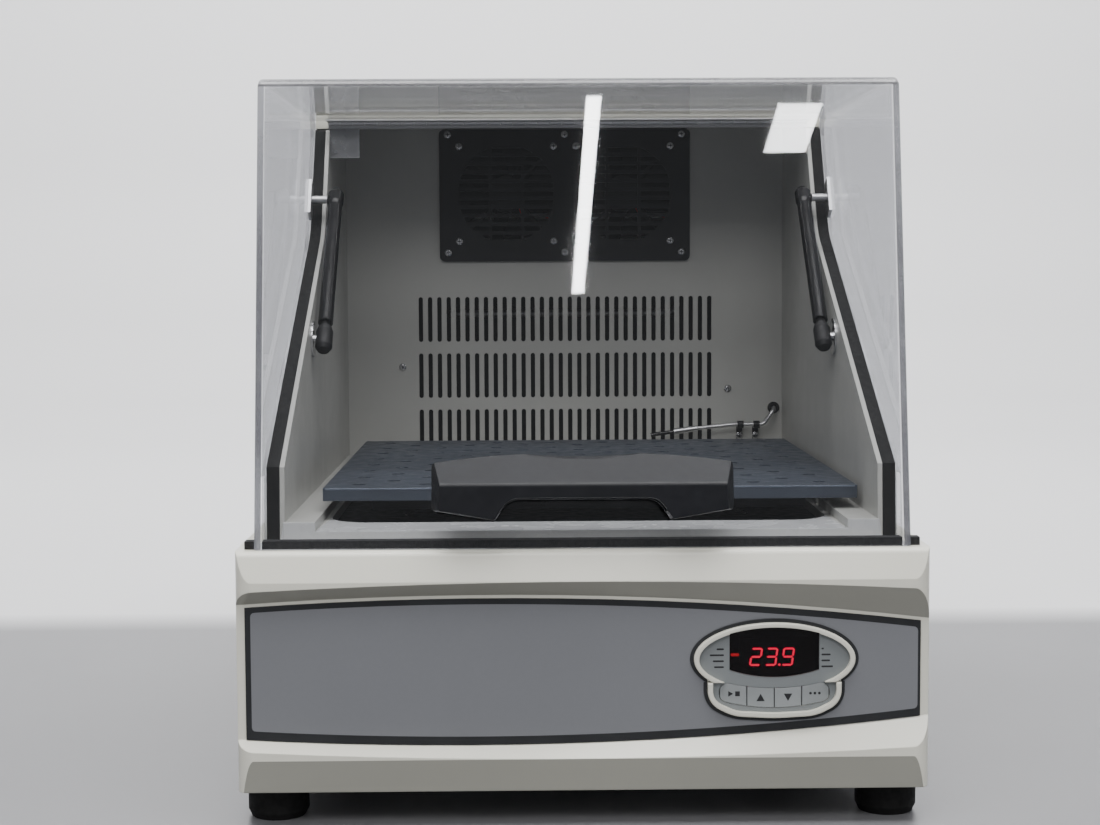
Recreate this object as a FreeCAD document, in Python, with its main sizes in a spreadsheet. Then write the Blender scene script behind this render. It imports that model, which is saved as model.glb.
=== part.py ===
import FreeCAD, Part
import Sketcher
import math
import os
import re
from types import SimpleNamespace

# An incubated benchtop shaker: a warmed chamber with a clear lid over an orbiting platform.
# Millimetres. X to the right, Y to the back, Z up. The origin is on the bench, below the
# middle of the outer box. "Setback" is a distance behind the front face of the base.

DIMENSIONS = {
    # outer box
    "handle_overhang": 10.0,
    "rear_space": 121.0,
    "deck_margin": 21.5,
    "rear_trim": 3.0,
    "roof_height": 612.0,
    "base_top": 225.0,
    "foot_height": 30.0,
    "foot_radius": 25.0,
    "foot_inset": 27.5,
    "foot_setback": 50.0,
    "sheet": 1.5,
    "cut_over": 5.0,
    "fit_gap": 0.3,
    "running_gap": 0.05,
    # base
    "cabinet_sheet": 2.0,
    "bezel_depth": 45.0,
    "bezel_wall": 3.0,
    "bezel_corner": 14.0,
    "pan_floor": 2.0,
    "pan_rim": 18.0,
    "deck_front": 70.0,
    "deck_back": 60.0,
    # front moulding, seen from the front
    "brow_drop": 32.1,
    "recess_left_drop": 43.7,
    "recess_crown_drop": 36.9,
    "recess_right_drop": 58.2,
    "lip_rise": 34.2,
    "recess_left_rise": 41.6,
    "recess_crown_rise": 35.6,
    "recess_right_rise": 57.5,
    "brow_rise": 7.6,
    "lip_drop": 7.8,
    "recess_depth": 12.0,
    "recess_top_crown_x": -75.0,
    "recess_foot_crown_x": -95.0,
    "face_top_setback": 8.0,
    "face_shoulder": 6.0,
    "tuck_in": 3.0,
    "overlay_thickness": 1.0,
    "overlay_margin": 2.6,
    "overlay_side_margin": 7.0,
    # control pod
    "pod_x": 154.0,
    "pod_middle_height": 135.0,
    "pod_half_width": 68.2,
    "pod_half_height": 32.6,
    "pod_foot_half_width": 57.1,
    "pod_foot_low": 83.6,
    "pod_foot_high": 116.0,
    "pod_foot_radius": 10.0,
    "pod_plate": 1.2,
    "pod_border": 3.0,
    "pod_ring": 4.2,
    "pod_ring_round": 1.1,
    "pod_proud": 5.0,
    "pod_rim": 8.0,
    "window_half_width": 36.0,
    "window_low": 126.1,
    "window_sag": 6.0,
    "window_high": 155.8,
    "window_bow": 4.8,
    "window_thickness": 1.6,
    "key_row_half_width": 44.4,
    "key_low": 101.0,
    "key_high": 116.6,
    "key_sag": 6.0,
    "key_end_radius": 6.5,
    "key_proud": 0.2,
    "key_gap": 0.8,
    "key_thickness": 6.0,
    "key_travel": 1.2,
    "board_thickness": 1.6,
    "board_standoff": 4.0,
    "board_half_width": 58.0,
    # cabinet above the base
    "insulation": 12.0,
    "liner_sheet": 1.2,
    "liner_flange": 2.8,
    "cabinet_setback": 44.0,
    "toe_lean": 4.0,
    "toe_rise": 64.0,
    "steep_run": 60.0,
    "steep_rise": 108.0,
    "slope_bend": 60.0,
    "gasket_depth": 6.0,
    "ceiling_gap": 4.0,
    "rail_drop": 17.5,
    "roof_chamfer": 6.0,
    # chamber floor
    "floor_rise": 11.0,
    "ledge_rise": 7.5,
    "ledge_width": 24.8,
    "well_margin": 25.0,
    "well_radius": 35.0,
    "well_depth": 8.0,
    "seal_height": 6.5,
    "seal_depth": 12.0,
    "seal_setback": 20.0,
    # back wall
    "slot_row_rise": 33.0,
    "fan_plate_gap": 2.0,
    "fan_plate_tall": 146.5,
    "fan_plate_margin": 14.5,
    "fan_axis_drop": 71.5,
    "duct_side_room": 38.3,
    "duct_lift": 15.0,
    "duct_gap": 5.0,
    "heater_drop": 134.5,
    "slot_width": 4.7,
    "slot_length": 50.0,
    "slot_pitch": 10.43,
    "slot_row_pitch": 63.0,
    "fan_plate_thickness": 3.0,
    "fan_plate_corner": 6.0,
    "fan_spacing": 130.0,
    "fan_size": 120.0,
    "fan_depth": 25.4,
    "fan_hole_pitch": 105.0,
    "fan_bore_radius": 57.0,
    "fan_hub_radius": 20.0,
    "grille_radius": 54.0,
    "grille_pitch": 9.6,
    "grille_slot": 5.4,
    "grille_rib": 3.5,
    "duct_depth": 90.0,
    "heater_radius": 4.0,
    "heater_half_width": 130.0,
    "heater_step": 28.0,
    # lid
    "lid_side_gap": 1.0,
    "lid_step": 5.0,
    "lid_rear_gap": 8.0,
    "hinge_sink": 1.5,
    "hinge_room": 4.0,
    "hinge_end_room": 13.0,
    "lid_sheet": 5.5,
    "lid_setback": 13.0,
    "lid_lean": 65.0,
    "lid_overlap": 14.0,
    "lid_corner": 8.0,
    "hinge_setback": 456.0,
    "knuckle_radius": 2.8,
    "hinge_pin_radius": 1.4,
    "hinge_leaf": 1.2,
    "hinge_leaf_depth": 22.0,
    "handle_half_width": 122.0,
    "handle_proud": 29.0,
    "handle_foot": 22.0,
    "handle_top": 54.0,
    "handle_edge": 28.0,
    "handle_wall": 8.0,
    "handle_arch": 17.0,
    "handle_arch_half_width": 71.0,
    "scoop_half_width": 54.0,
    "scoop_reach": 9.0,
    "scoop_depth": 3.0,
    # gas struts
    "strut_high_forward": 60.0,
    "strut_high_drop": 80.0,
    "strut_low_forward": 127.0,
    "strut_low_drop": 134.0,
    "strut_side_room": 10.9,
    "strut_radius": 7.0,
    "strut_rod_radius": 4.0,
    "strut_rod_shown": 6.0,
    "strut_rod_hidden": 78.0,
    "socket_radius": 8.0,
    "low_socket_reach": 14.0,
    "high_socket_reach": 11.0,
    "stud_radius": 4.0,
    "stud_disc_radius": 17.0,
    "stud_disc_thickness": 2.0,
    "bracket_height": 38.0,
    "bracket_depth": 16.0,
    "bracket_thickness": 3.0,
    # platform and drive
    "platform_front_setback": 102.0,
    "platform_side_room": 5.3,
    "platform_back_room": 50.0,
    "carrier_margin": 38.5,
    "carrier_rise": 5.0,
    "post_height": 12.0,
    "web_gap": 0.5,
    "frame_margin": 58.5,
    "motor_spacing": 90.0,
    "platform_size": 457.2,
    "platform_lip": 11.0,
    "platform_sheet": 3.0,
    "hole_radius": 6.0,
    "orbit_radius": 9.5,
    "carrier_thickness": 8.0,
    "post_radius": 8.0,
    "post_inset": 30.0,
    "tray_sheet": 2.0,
    "crank_pin_radius": 10.0,
    "crank_web_radius": 30.0,
    "crank_web_thickness": 5.5,
    "shaft_radius": 12.5,
    "shaft_low": 96.0,
    "housing_radius": 32.0,
    "bearing_outer": 23.5,
    "bearing_width": 12.0,
    "frame_low": 150.0,
    "frame_thickness": 8.0,
    "frame_leg": 20.0,
    "idler_x": 130.0,
    "idler_forward": 120.0,
    "idler_shaft_radius": 8.0,
    "idler_housing_radius": 24.0,
    "idler_web_radius": 24.0,
    "idler_pin_radius": 7.0,
    "idler_bearing_outer": 17.5,
    "weight_radius": 108.0,
    "weight_low": 128.0,
    "weight_thickness": 18.0,
    "pulley_low": 100.0,
    "pulley_width": 22.0,
    "pulley_radius": 69.9,
    "pulley_flange": 3.0,
    "motor_pulley_radius": 23.3,
    "motor_x": -150.0,
    "motor_radius": 50.0,
    "motor_top": 92.0,
    "motor_shaft_radius": 6.0,
    "motor_shaft_grip": 10.0,
    "belt_width": 15.0,
    "belt_thickness": 3.0,
    # rear and electrics
    "inlet_x": -190.0,
    "inlet_height": 90.0,
    "inlet_width": 48.0,
    "inlet_tall": 28.0,
    "inlet_depth": 30.0,
    "inlet_socket_width": 24.5,
    "inlet_socket_tall": 16.5,
    "inlet_socket_depth": 19.0,
    "inlet_pin_length": 12.0,
    "switch_x": -130.0,
    "rocker_width": 12.0,
    "rocker_tall": 24.0,
    "rocker_angle": 14.0,
    "board_long": 160.0,
    "transformer_long": 95.0,
    "louvre_length": 60.0,
    "louvre_width": 4.0,
    "louvre_pitch": 12.0,
    # temperature probe
    "probe_port_inset": 9.3,
    "probe_port_rise": 58.0,
    "probe_clip_rise": 40.0,
    "probe_bend_rise": 36.0,
    "probe_tip_rise": 28.8,
    "probe_radius": 2.2,
    "probe_standoff": 12.0,
    "probe_clip_right_x": 213.6,
    "probe_clip_left_x": 195.6,
    "probe_bend_x": 147.0,
    "probe_tip_x": 95.0,
    "probe_sleeve_length": 26.0,
    "probe_bend_radius": 8.0,
    # screws
    "screw_head_radius": 4.0,
    "screw_head_height": 2.2,
}

# Sizes that follow from the ones above.
FOLLOWING = {
    "orbit_setback": "platform_front_setback + orbit_radius + platform_size / 2",
    "back_wall_setback": "orbit_setback + orbit_radius + platform_size / 2 + platform_back_room",
    "body_depth": "back_wall_setback + rear_space",
    "overall_depth": "handle_overhang + body_depth",
    "liner_inner": "platform_size / 2 + orbit_radius + platform_side_room",
    "cabinet_width": "2 * (liner_inner + liner_sheet + insulation + sheet)",
    "body_width": "cabinet_width + 2 * deck_margin",
    "lid_width": "cabinet_width + 2 * (lid_side_gap + lid_sheet)",
    "seal_half_width": "body_width / 2 - cut_over - sheet",
    "brow_end_height": "base_top - brow_drop",
    "recess_top_left": "base_top - recess_left_drop",
    "recess_top_crown": "base_top - recess_crown_drop",
    "recess_top_right": "base_top - recess_right_drop",
    "lip_end_height": "foot_height + lip_rise",
    "recess_foot_left": "foot_height + recess_left_rise",
    "recess_foot_crown": "foot_height + recess_crown_rise",
    "recess_foot_right": "foot_height + recess_right_rise",
    "floor_height": "base_top + floor_rise",
    "ledge_height": "floor_height + ledge_rise",
    "ledge_inner": "liner_inner - ledge_width",
    "well_half_width": "platform_size / 2 + orbit_radius - well_margin",
    "well_front_setback": "platform_front_setback - 2 * sheet",
    "well_back_setback": "back_wall_setback - platform_back_room + sheet",
    "carrier_size": "platform_size - 2 * carrier_margin",
    "hole_pitch": "platform_size / 8",
    "carrier_low": "floor_height + carrier_rise",
    "platform_top": "carrier_low + carrier_thickness + post_height + platform_sheet",
    "crank_web_low": "floor_height - well_depth - crank_web_thickness",
    "housing_top": "crank_web_low - web_gap",
    "frame_half_width": "platform_size / 2 - frame_margin + orbit_radius",
    "frame_half_depth": "platform_size / 2 - frame_margin",
    "chamber_ceiling": "roof_height - ceiling_gap",
    "lid_top": "roof_height - lid_step",
    "hinge_height": "lid_top - lid_sheet - hinge_sink",
    "roof_front_setback": "hinge_setback + hinge_room",
    "lid_rear_setback": "hinge_setback - lid_rear_gap",
    "hinge_half_width": "cabinet_width / 2 - hinge_end_room",
    "strut_x": "liner_inner - strut_side_room",
    "strut_high_setback": "hinge_setback - strut_high_forward",
    "strut_high_height": "hinge_height - strut_high_drop",
    "strut_low_setback": "strut_high_setback - strut_low_forward",
    "strut_low_height": "strut_high_height - strut_low_drop",
    "fan_plate_high": "chamber_ceiling - fan_plate_gap",
    "fan_plate_low": "fan_plate_high - fan_plate_tall",
    "fan_plate_width": "fan_spacing + fan_size + 2 * fan_plate_margin",
    "fan_axis_height": "fan_plate_high - fan_axis_drop",
    "duct_half_width": "liner_inner - duct_side_room",
    "duct_low": "base_top + duct_lift",
    "duct_high": "chamber_ceiling - duct_gap",
    "heater_low": "fan_axis_height - heater_drop",
    "slot_first_row": "floor_height + slot_row_rise",
    "probe_port_x": "liner_inner - probe_port_inset",
    "probe_port_height": "floor_height + probe_port_rise",
    "probe_clip_height": "floor_height + probe_clip_rise",
    "probe_bend_height": "floor_height + probe_bend_rise",
    "probe_tip_height": "floor_height + probe_tip_rise",
}

KNUCKLES = 39
SLOT_COLUMNS = 32
SLOT_ROWS = 3
GRILLE_ROWS = 11
FAN_BLADES = 7
HOLE_COLUMNS = 8
HEATER_RUNS = 5
LOUVRES = 9

# Points this close are one point.
TOUCHING = 1e-6

Vector = FreeCAD.Vector
Placement = FreeCAD.Placement
Rotation = FreeCAD.Rotation
RIGHT = Vector(1, 0, 0)
BACK = Vector(0, 1, 0)
UP = Vector(0, 0, 1)

doc = FreeCAD.newDocument("IncubatedShaker")
sheet = doc.addObject("Spreadsheet::Sheet", "Sizes")
CELLS = {**DIMENSIONS, **{alias: "=" + text for alias, text in FOLLOWING.items()}}
for row, (alias, value) in enumerate(CELLS.items(), start=1):
    sheet.set(f"A{row}", alias)
    sheet.setAlias(f"B{row}", alias)
    sheet.set(f"B{row}", str(value))
doc.recompute()
size = SimpleNamespace(**{alias: float(sheet.get(alias)) for alias in CELLS})

# The front face of the base and the rear face of the cabinet, as text for the sheet's
# users and as numbers.
FRONT = "(handle_overhang - overall_depth / 2)"
REAR = "(overall_depth / 2 - rear_trim)"
front = size.handle_overhang - size.overall_depth / 2
rear = size.overall_depth / 2 - size.rear_trim

nodes = []


def formula(text):
    """The text with each size's name pointing at its cell."""
    return re.sub(
        r"[a-z][a-z_]*",
        lambda word: "Sizes." + word.group(0) if word.group(0) in CELLS else word.group(0),
        text,
    )


def bind(item, links):
    for target, text in links.items():
        item.setExpression(target, formula(text))


def keep(item):
    """Marks an object as a sub-part of its own."""
    item.Label = item.Name
    nodes.append(item)
    return item


def place(item, at):
    for letter, text in zip("xyz", at):
        item.setExpression(f"Placement.Base.{letter}", formula(text))


def block(name, extent, corner):
    item = doc.addObject("Part::Box", name)
    bind(item, dict(zip(("Length", "Width", "Height"), extent)))
    place(item, corner)
    return item


def rod(name, radius, length, at, along=UP):
    item = doc.addObject("Part::Cylinder", name)
    item.Placement = Placement(Vector(), Rotation(UP, along))
    bind(item, {"Radius": radius, "Height": length})
    place(item, at)
    return item


def join(name, pieces):
    item = doc.addObject("Part::MultiFuse", name)
    item.Shapes = pieces
    return item


def cut(name, base, tools):
    item = doc.addObject("Part::Cut", name)
    item.Base = base
    item.Tool = tools[0] if len(tools) == 1 else join(name + "_tools", tools)
    return item


def gather(name, pieces):
    item = doc.addObject("Part::Compound", name)
    item.Links = pieces
    return item


def solid(name, shape):
    item = doc.addObject("Part::Feature", name)
    item.Shape = shape
    return item


def body(name):
    return doc.addObject("PartDesign::Body", name)


def base_plane(piece, role):
    return next(part for part in piece.Origin.OriginFeatures if part.Role == role)


def blank_sketch(piece, name, role, lift="0"):
    sketch = piece.newObject("Sketcher::SketchObject", name)
    sketch.AttachmentSupport = [(base_plane(piece, role), "")]
    sketch.MapMode = "FlatFace"
    if lift != "0":
        sketch.setExpression("AttachmentOffset.Base.z", formula(lift))
    return sketch


def pin_point(sketch, geometry, end, where):
    for kind, text in zip(("DistanceX", "DistanceY"), where):
        index = sketch.addConstraint(Sketcher.Constraint(kind, -1, 1, geometry, end, 1.0))
        sketch.setExpression(f"Constraints[{index}]", formula(text))


def outline(piece, name, role, points, lift="0"):
    """A closed outline of straight lines through points given as text."""
    sketch = blank_sketch(piece, name, role, lift)
    count = len(points)
    turns = [2 * math.pi * step / count for step in range(count)]
    ring = [Vector(math.cos(turn), math.sin(turn), 0) for turn in turns]
    for step in range(count):
        sketch.addGeometry(Part.LineSegment(ring[step], ring[(step + 1) % count]), False)
    for step in range(count):
        sketch.addConstraint(Sketcher.Constraint("Coincident", step, 2, (step + 1) % count, 1))
    for step, where in enumerate(points):
        pin_point(sketch, step, 1, where)
    return sketch


def circles(piece, name, role, radius, centres, lift="0"):
    sketch = blank_sketch(piece, name, role, lift)
    for step, centre in enumerate(centres):
        circle = Part.Circle(Vector(step + 1, 0, 0), UP, 0.1)
        sketch.addGeometry(circle, False)
        index = sketch.addConstraint(Sketcher.Constraint("Radius", step, 1.0))
        sketch.setExpression(f"Constraints[{index}]", formula(radius))
        pin_point(sketch, step, 3, centre)
    return sketch


def rectangle(left, low, right, high):
    return [(left, low), (right, low), (right, high), (left, high)]


def pad(piece, name, sketch, length, both_ways=False):
    feature = piece.newObject("PartDesign::Pad", name)
    feature.Profile = sketch
    feature.Midplane = both_ways
    bind(feature, {"Length": length})
    return feature


def pocket(piece, name, sketch, depth=None):
    feature = piece.newObject("PartDesign::Pocket", name)
    feature.Profile = sketch
    if depth is None:
        feature.Type = 1
        feature.Midplane = True
    else:
        bind(feature, {"Length": depth})
    return feature


def turned(name, points, at, along=UP):
    """A round piece: half its section, as radius and height, turned about its own Z axis."""
    piece = body(name)
    piece.Placement = Placement(Vector(), Rotation(UP, along))
    sketch = outline(piece, name + "_section", "XZ_Plane", points)
    feature = piece.newObject("PartDesign::Revolution", name + "_turn")
    feature.Profile = sketch
    feature.ReferenceAxis = (sketch, ["V_Axis"])
    feature.Angle = 360
    place(piece, at)
    return piece


def grid(piece, name, original, sketch, pitch, columns, rows):
    pattern = piece.newObject("PartDesign::MultiTransform", name)
    across = piece.newObject("PartDesign::LinearPattern", name + "_across")
    across.Direction = (sketch, ["H_Axis"])
    across.Occurrences = columns
    bind(across, {"Length": f"{columns - 1} * {pitch[0]}"})
    along = piece.newObject("PartDesign::LinearPattern", name + "_along")
    along.Direction = (sketch, ["V_Axis"])
    along.Occurrences = rows
    bind(along, {"Length": f"{rows - 1} * {pitch[1]}"})
    pattern.Originals = [original]
    pattern.Transformations = [across, along]
    piece.Tip = pattern
    return pattern


def rounded(points, radii, closed=False):
    """A wire through the points, with a tangent arc of the given radius at each corner."""
    count = len(points)
    turns = range(count) if closed else range(1, count - 1)
    ends = {}
    arcs = {}
    for step in turns:
        here = points[step]
        before = (points[step - 1] - here).normalize()
        after = (points[(step + 1) % count] - here).normalize()
        half = before.getAngle(after) / 2
        reach = radii[step] / math.tan(half)
        if reach <= 0:
            continue
        start = here + before * reach
        stop = here + after * reach
        middle_way = (before + after).normalize()
        middle = here + middle_way * (radii[step] / math.sin(half) - radii[step])
        ends[step] = (start, stop)
        arcs[step] = Part.Arc(start, middle, stop).toShape()
    edges = []
    spans = range(count) if closed else range(count - 1)
    for step in spans:
        following = (step + 1) % count
        leave = ends[step][1] if step in ends else points[step]
        arrive = ends[following][0] if following in ends else points[following]
        if (arrive - leave).Length > TOUCHING:
            edges.append(Part.LineSegment(leave, arrive).toShape())
        if following in arcs:
            edges.append(arcs[following])
    return Part.Wire(Part.__sortEdges__(edges))


def prism(wire, along):
    return Part.Face(wire).extrude(along)


def beside(points, distance):
    """The open line moved to its right-hand side by a distance, with mitred corners."""
    ways = [(Vector(*second, 0) - Vector(*first, 0)).normalize()
            for first, second in zip(points, points[1:])]
    moved = []
    for step, point in enumerate(points):
        before = ways[max(step - 1, 0)]
        after = ways[min(step, len(ways) - 1)]
        rights = [Vector(way.y, -way.x, 0) for way in (before, after)]
        middle = (rights[0] + rights[1]).normalize()
        stretch = distance / middle.dot(rights[0])
        moved.append((point[0] + middle.x * stretch, point[1] + middle.y * stretch))
    return moved


def tube(points, radius, bend):
    """A round bar along straight runs and tangent arcs."""
    spine = rounded(points, [bend] * len(points))
    way = points[1] - points[0]
    ring = Part.Wire(Part.makeCircle(radius, points[0], way))
    return spine.makePipeShell([ring], True, False)


def box_at(low, high):
    span = Vector(*high) - Vector(*low)
    return Part.makeBox(span.x, span.y, span.z, Vector(*low))


def arc_through(left, middle, right):
    return Part.Arc(left, middle, right).toShape()


def leaf_wire(depth, half_width, top, foot):
    """Four edges: a curved top, a curved foot and two upright ends.

    top and foot each give the height at the left end, the crown's x and height, and the
    height at the right end; the curves run on to the half width as one circle.
    """
    def curve(heights):
        left, crown_x, crown, right = heights
        half = size.body_width / 2
        points = [Vector(-half, depth, left), Vector(crown_x, depth, crown), Vector(half, depth, right)]
        circle = arc_through(*points).Curve
        ends = []
        for x in (-half_width, half_width):
            rise = math.sqrt(circle.Radius ** 2 - (x - circle.Center.x) ** 2)
            sign = 1 if crown > circle.Center.z else -1
            ends.append(Vector(x, depth, circle.Center.z + sign * rise))
        return arc_through(ends[0], points[1], ends[1]), ends
    top_edge, top_ends = curve(top)
    foot_edge, foot_ends = curve(foot)
    right_edge = Part.LineSegment(top_ends[1], foot_ends[1]).toShape()
    left_edge = Part.LineSegment(foot_ends[0], top_ends[0]).toShape()
    return Part.Wire([top_edge, right_edge, foot_edge, left_edge])


def shifted(heights, amount):
    left, crown_x, crown, right = heights
    return (left + amount, crown_x, crown + amount, right + amount)


# Front view curves of the base moulding: left end, crown x, crown, right end.
brow = (size.brow_end_height, 0.0, size.brow_end_height + size.brow_rise, size.brow_end_height)
lip = (size.lip_end_height, 0.0, size.lip_end_height - size.lip_drop, size.lip_end_height)
recess_top = (size.recess_top_left, size.recess_top_crown_x, size.recess_top_crown,
              size.recess_top_right)
recess_foot = (size.recess_foot_left, size.recess_foot_crown_x, size.recess_foot_crown,
               size.recess_foot_right)
half_body = size.body_width / 2
overlay_face = front + size.recess_depth - size.overlay_thickness
pod_face = overlay_face - size.pod_proud


def recess_plug(grow, deeper):
    """The space that the front recess takes out of the moulding."""
    reach = half_body + size.cut_over
    mouth = leaf_wire(front - size.fit_gap, reach, shifted(brow, grow), shifted(lip, -grow))
    end = leaf_wire(front + size.recess_depth + deeper, reach,
                    shifted(recess_top, grow), shifted(recess_foot, -grow))
    return Part.makeLoft([mouth, end], True, True)


def bezel_block(wall):
    """The moulding's outer form, drawn in by a wall on the front, sides and top."""
    low = size.foot_height
    high = size.base_top - wall
    at = front + wall
    side = [
        Vector(0, at + size.tuck_in, low),
        Vector(0, at, size.lip_end_height - size.lip_drop),
        Vector(0, at, size.brow_end_height + size.brow_rise),
        Vector(0, at + size.face_top_setback, high),
        Vector(0, front + size.bezel_depth, high),
        Vector(0, front + size.bezel_depth, low),
    ]
    radii = [0, 0, 0, size.face_shoulder, 0, 0]
    half = half_body - wall
    form = prism(rounded(side, radii, closed=True), RIGHT * 2 * half)
    form.translate(RIGHT * -half)
    corner = size.bezel_corner - wall
    plan = [
        Vector(-half, at, 0), Vector(half, at, 0),
        Vector(half, front + size.bezel_depth, 0), Vector(-half, front + size.bezel_depth, 0),
    ]
    edge = prism(rounded(plan, [corner, corner, 0, 0], closed=True), UP * size.base_top)
    return form.common(edge)


# The pod's foot, as shares of its half width and of its height, with shares of its radius.
FOOT_SHARES = ((-1, 1, 0), (-1, 0.42, 2), (-0.62, 0.06, 4.6), (0, 0, 16), (0.62, 0.06, 4.6),
               (1, 0.42, 2), (1, 1, 0))


def pod_shape(at, depth, inset):
    """The control pod's outline, drawn in by inset: a wide oval over a narrower rounded foot."""
    oval = Part.Ellipse(Vector(), size.pod_half_width - inset, size.pod_half_height - inset)
    upper = Part.Face(Part.Wire(oval.toShape())).extrude(UP * depth)
    upper.rotate(Vector(), RIGHT, 90)
    upper.translate(Vector(size.pod_x, at + depth, size.pod_middle_height))
    half = size.pod_foot_half_width - inset
    low = size.pod_foot_low + inset
    corner = size.pod_foot_radius - inset / 2
    corners = [Vector(size.pod_x + half * x_share, at, low + (size.pod_foot_high - low) * z_share)
               for x_share, z_share, _ in FOOT_SHARES]
    radii = [corner * share for _, _, share in FOOT_SHARES]
    lower = prism(rounded(corners, radii, closed=True), BACK * depth)
    return upper.fuse(lower).removeSplitter()


def make_front():
    outer = bezel_block(0)
    inner = bezel_block(size.bezel_wall).cut(recess_plug(size.bezel_wall, size.bezel_wall))
    floor_cut = box_at((-half_body, front, 0), (half_body, front + size.bezel_depth,
                                               size.foot_height + size.bezel_wall))
    inner = inner.cut(floor_cut)
    back_cut = inner.common(box_at(
        (-half_body, front + size.bezel_depth - size.cut_over, 0),
        (half_body, front + size.bezel_depth, size.roof_height)))
    back_cut.translate(BACK * size.cut_over)
    opening = pod_shape(front, size.bezel_depth, size.pod_rim)
    moulding = outer.cut(recess_plug(0, 0)).cut(inner).cut(back_cut).cut(opening)
    keep(solid("front_bezel", moulding.removeSplitter()))

    margin = size.overlay_margin
    side = half_body - size.overlay_side_margin
    ring = leaf_wire(overlay_face, side, shifted(recess_top, -margin), shifted(recess_foot, size.fit_gap))
    overlay = prism(ring, BACK * size.overlay_thickness)
    keep(solid("front_overlay", overlay.cut(opening)))


def bowed(at, half, low, low_middle, high, high_middle):
    """A wire on the pod with upright ends, an arc on top and an arc below."""
    x = size.pod_x
    top = arc_through(Vector(x - half, at, high), Vector(x, at, high_middle), Vector(x + half, at, high))
    foot = arc_through(Vector(x + half, at, low), Vector(x, at, low_middle), Vector(x - half, at, low))
    right_edge = Part.LineSegment(Vector(x + half, at, high), Vector(x + half, at, low)).toShape()
    left_edge = Part.LineSegment(Vector(x - half, at, low), Vector(x - half, at, high)).toShape()
    return Part.Wire([top, right_edge, foot, left_edge])


def window_wire(at, grow):
    low = size.window_low - grow
    high = size.window_high + grow
    return bowed(at, size.window_half_width + grow, low, low - size.window_sag,
                 high, high + size.window_bow)


def key_band(at, depth, grow):
    """The curved strip that the keys are cut from, with round ends."""
    half = size.key_row_half_width + grow
    low = size.key_low - grow
    high = size.key_high + grow
    band = prism(bowed(at, half, low, low - size.key_sag, high, high - size.key_sag), BACK * depth)
    ends = [edge for edge in band.Edges
            if edge.BoundBox.YLength > depth / 2
            and abs(edge.CenterOfMass.x - size.pod_x) > half - size.running_gap]
    return band.makeFillet(size.key_end_radius + grow, ends)


def key_middle_height(x):
    """The height of the key row's middle line, which climbs to both ends."""
    share = (x - size.pod_x) / size.key_row_half_width
    return (size.key_low + size.key_high) / 2 - size.key_sag * (1 - share ** 2)


def make_pod():
    """A flat border, a rounded ring that stands proud, and a field inside it."""
    plate = pod_shape(overlay_face - size.pod_plate, size.pod_plate, 0)
    ring = pod_shape(pod_face, size.pod_proud, size.pod_border)
    rim = [edge for edge in ring.Edges if edge.BoundBox.YMax < pod_face + size.running_gap]
    ring = ring.makeFillet(size.pod_ring_round, rim)
    inside = pod_shape(pod_face - size.cut_over, size.pod_proud - size.pod_plate + size.cut_over,
                       size.pod_border + size.pod_ring)
    return plate.fuse(ring).cut(inside)


def make_controls():
    through = size.pod_proud + 2 * size.cut_over
    window_hole = prism(window_wire(pod_face - size.cut_over, size.fit_gap), BACK * through)
    key_hole = key_band(pod_face - size.cut_over, through, size.key_gap / 2)
    shell = make_pod().cut(window_hole).cut(key_hole)
    keep(solid("control_bezel", shell.removeSplitter()))

    window_at = overlay_face - size.window_thickness
    window = prism(window_wire(window_at, 0), BACK * size.window_thickness)
    keep(solid("display_window", window))

    key_face = overlay_face - size.pod_plate - size.key_proud
    key_names = ("key_run", "key_up", "key_down", "key_select")
    step = 2 * size.key_row_half_width / len(key_names)
    for index, name in enumerate(key_names):
        left = size.pod_x - size.key_row_half_width + index * step
        slot = box_at((left + size.key_gap / 2, front - size.cut_over, 0),
                      (left + step - size.key_gap / 2, front + size.bezel_depth, size.base_top))
        keep(solid(name, key_band(key_face, size.key_thickness, 0).common(slot)))

    board_at = front + size.recess_depth + size.bezel_wall + size.board_standoff
    plate = box_at((size.pod_x - size.board_half_width, board_at, size.pod_foot_low),
                   (size.pod_x + size.board_half_width, board_at + size.board_thickness,
                    size.pod_middle_height + size.pod_half_height))
    pieces = [plate]
    digits_half = size.window_half_width - size.pod_rim
    pieces.append(box_at(
        (size.pod_x - digits_half, overlay_face + size.fit_gap, size.window_low + size.window_bow),
        (size.pod_x + digits_half, board_at, size.window_high - size.window_bow)))
    plunger_at = key_face + size.key_thickness + size.key_travel + size.fit_gap
    button = size.board_standoff / 2
    for index in range(len(key_names)):
        x = size.pod_x - size.key_row_half_width + (index + 0.5) * step
        z = key_middle_height(x)
        pieces.append(box_at((x - button, plunger_at, z - button), (x + button, board_at, z + button)))
    inset = size.board_standoff
    for x in (size.pod_x - size.board_half_width + inset, size.pod_x + size.board_half_width - inset):
        pieces.append(Part.makeCylinder(inset / 2, size.board_standoff, Vector(
            x, board_at - size.board_standoff, size.pod_foot_high + inset), BACK))
    board = pieces[0].fuse(pieces[1:])
    keep(solid("display_board", board.removeSplitter()))


make_front()
make_controls()


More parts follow.
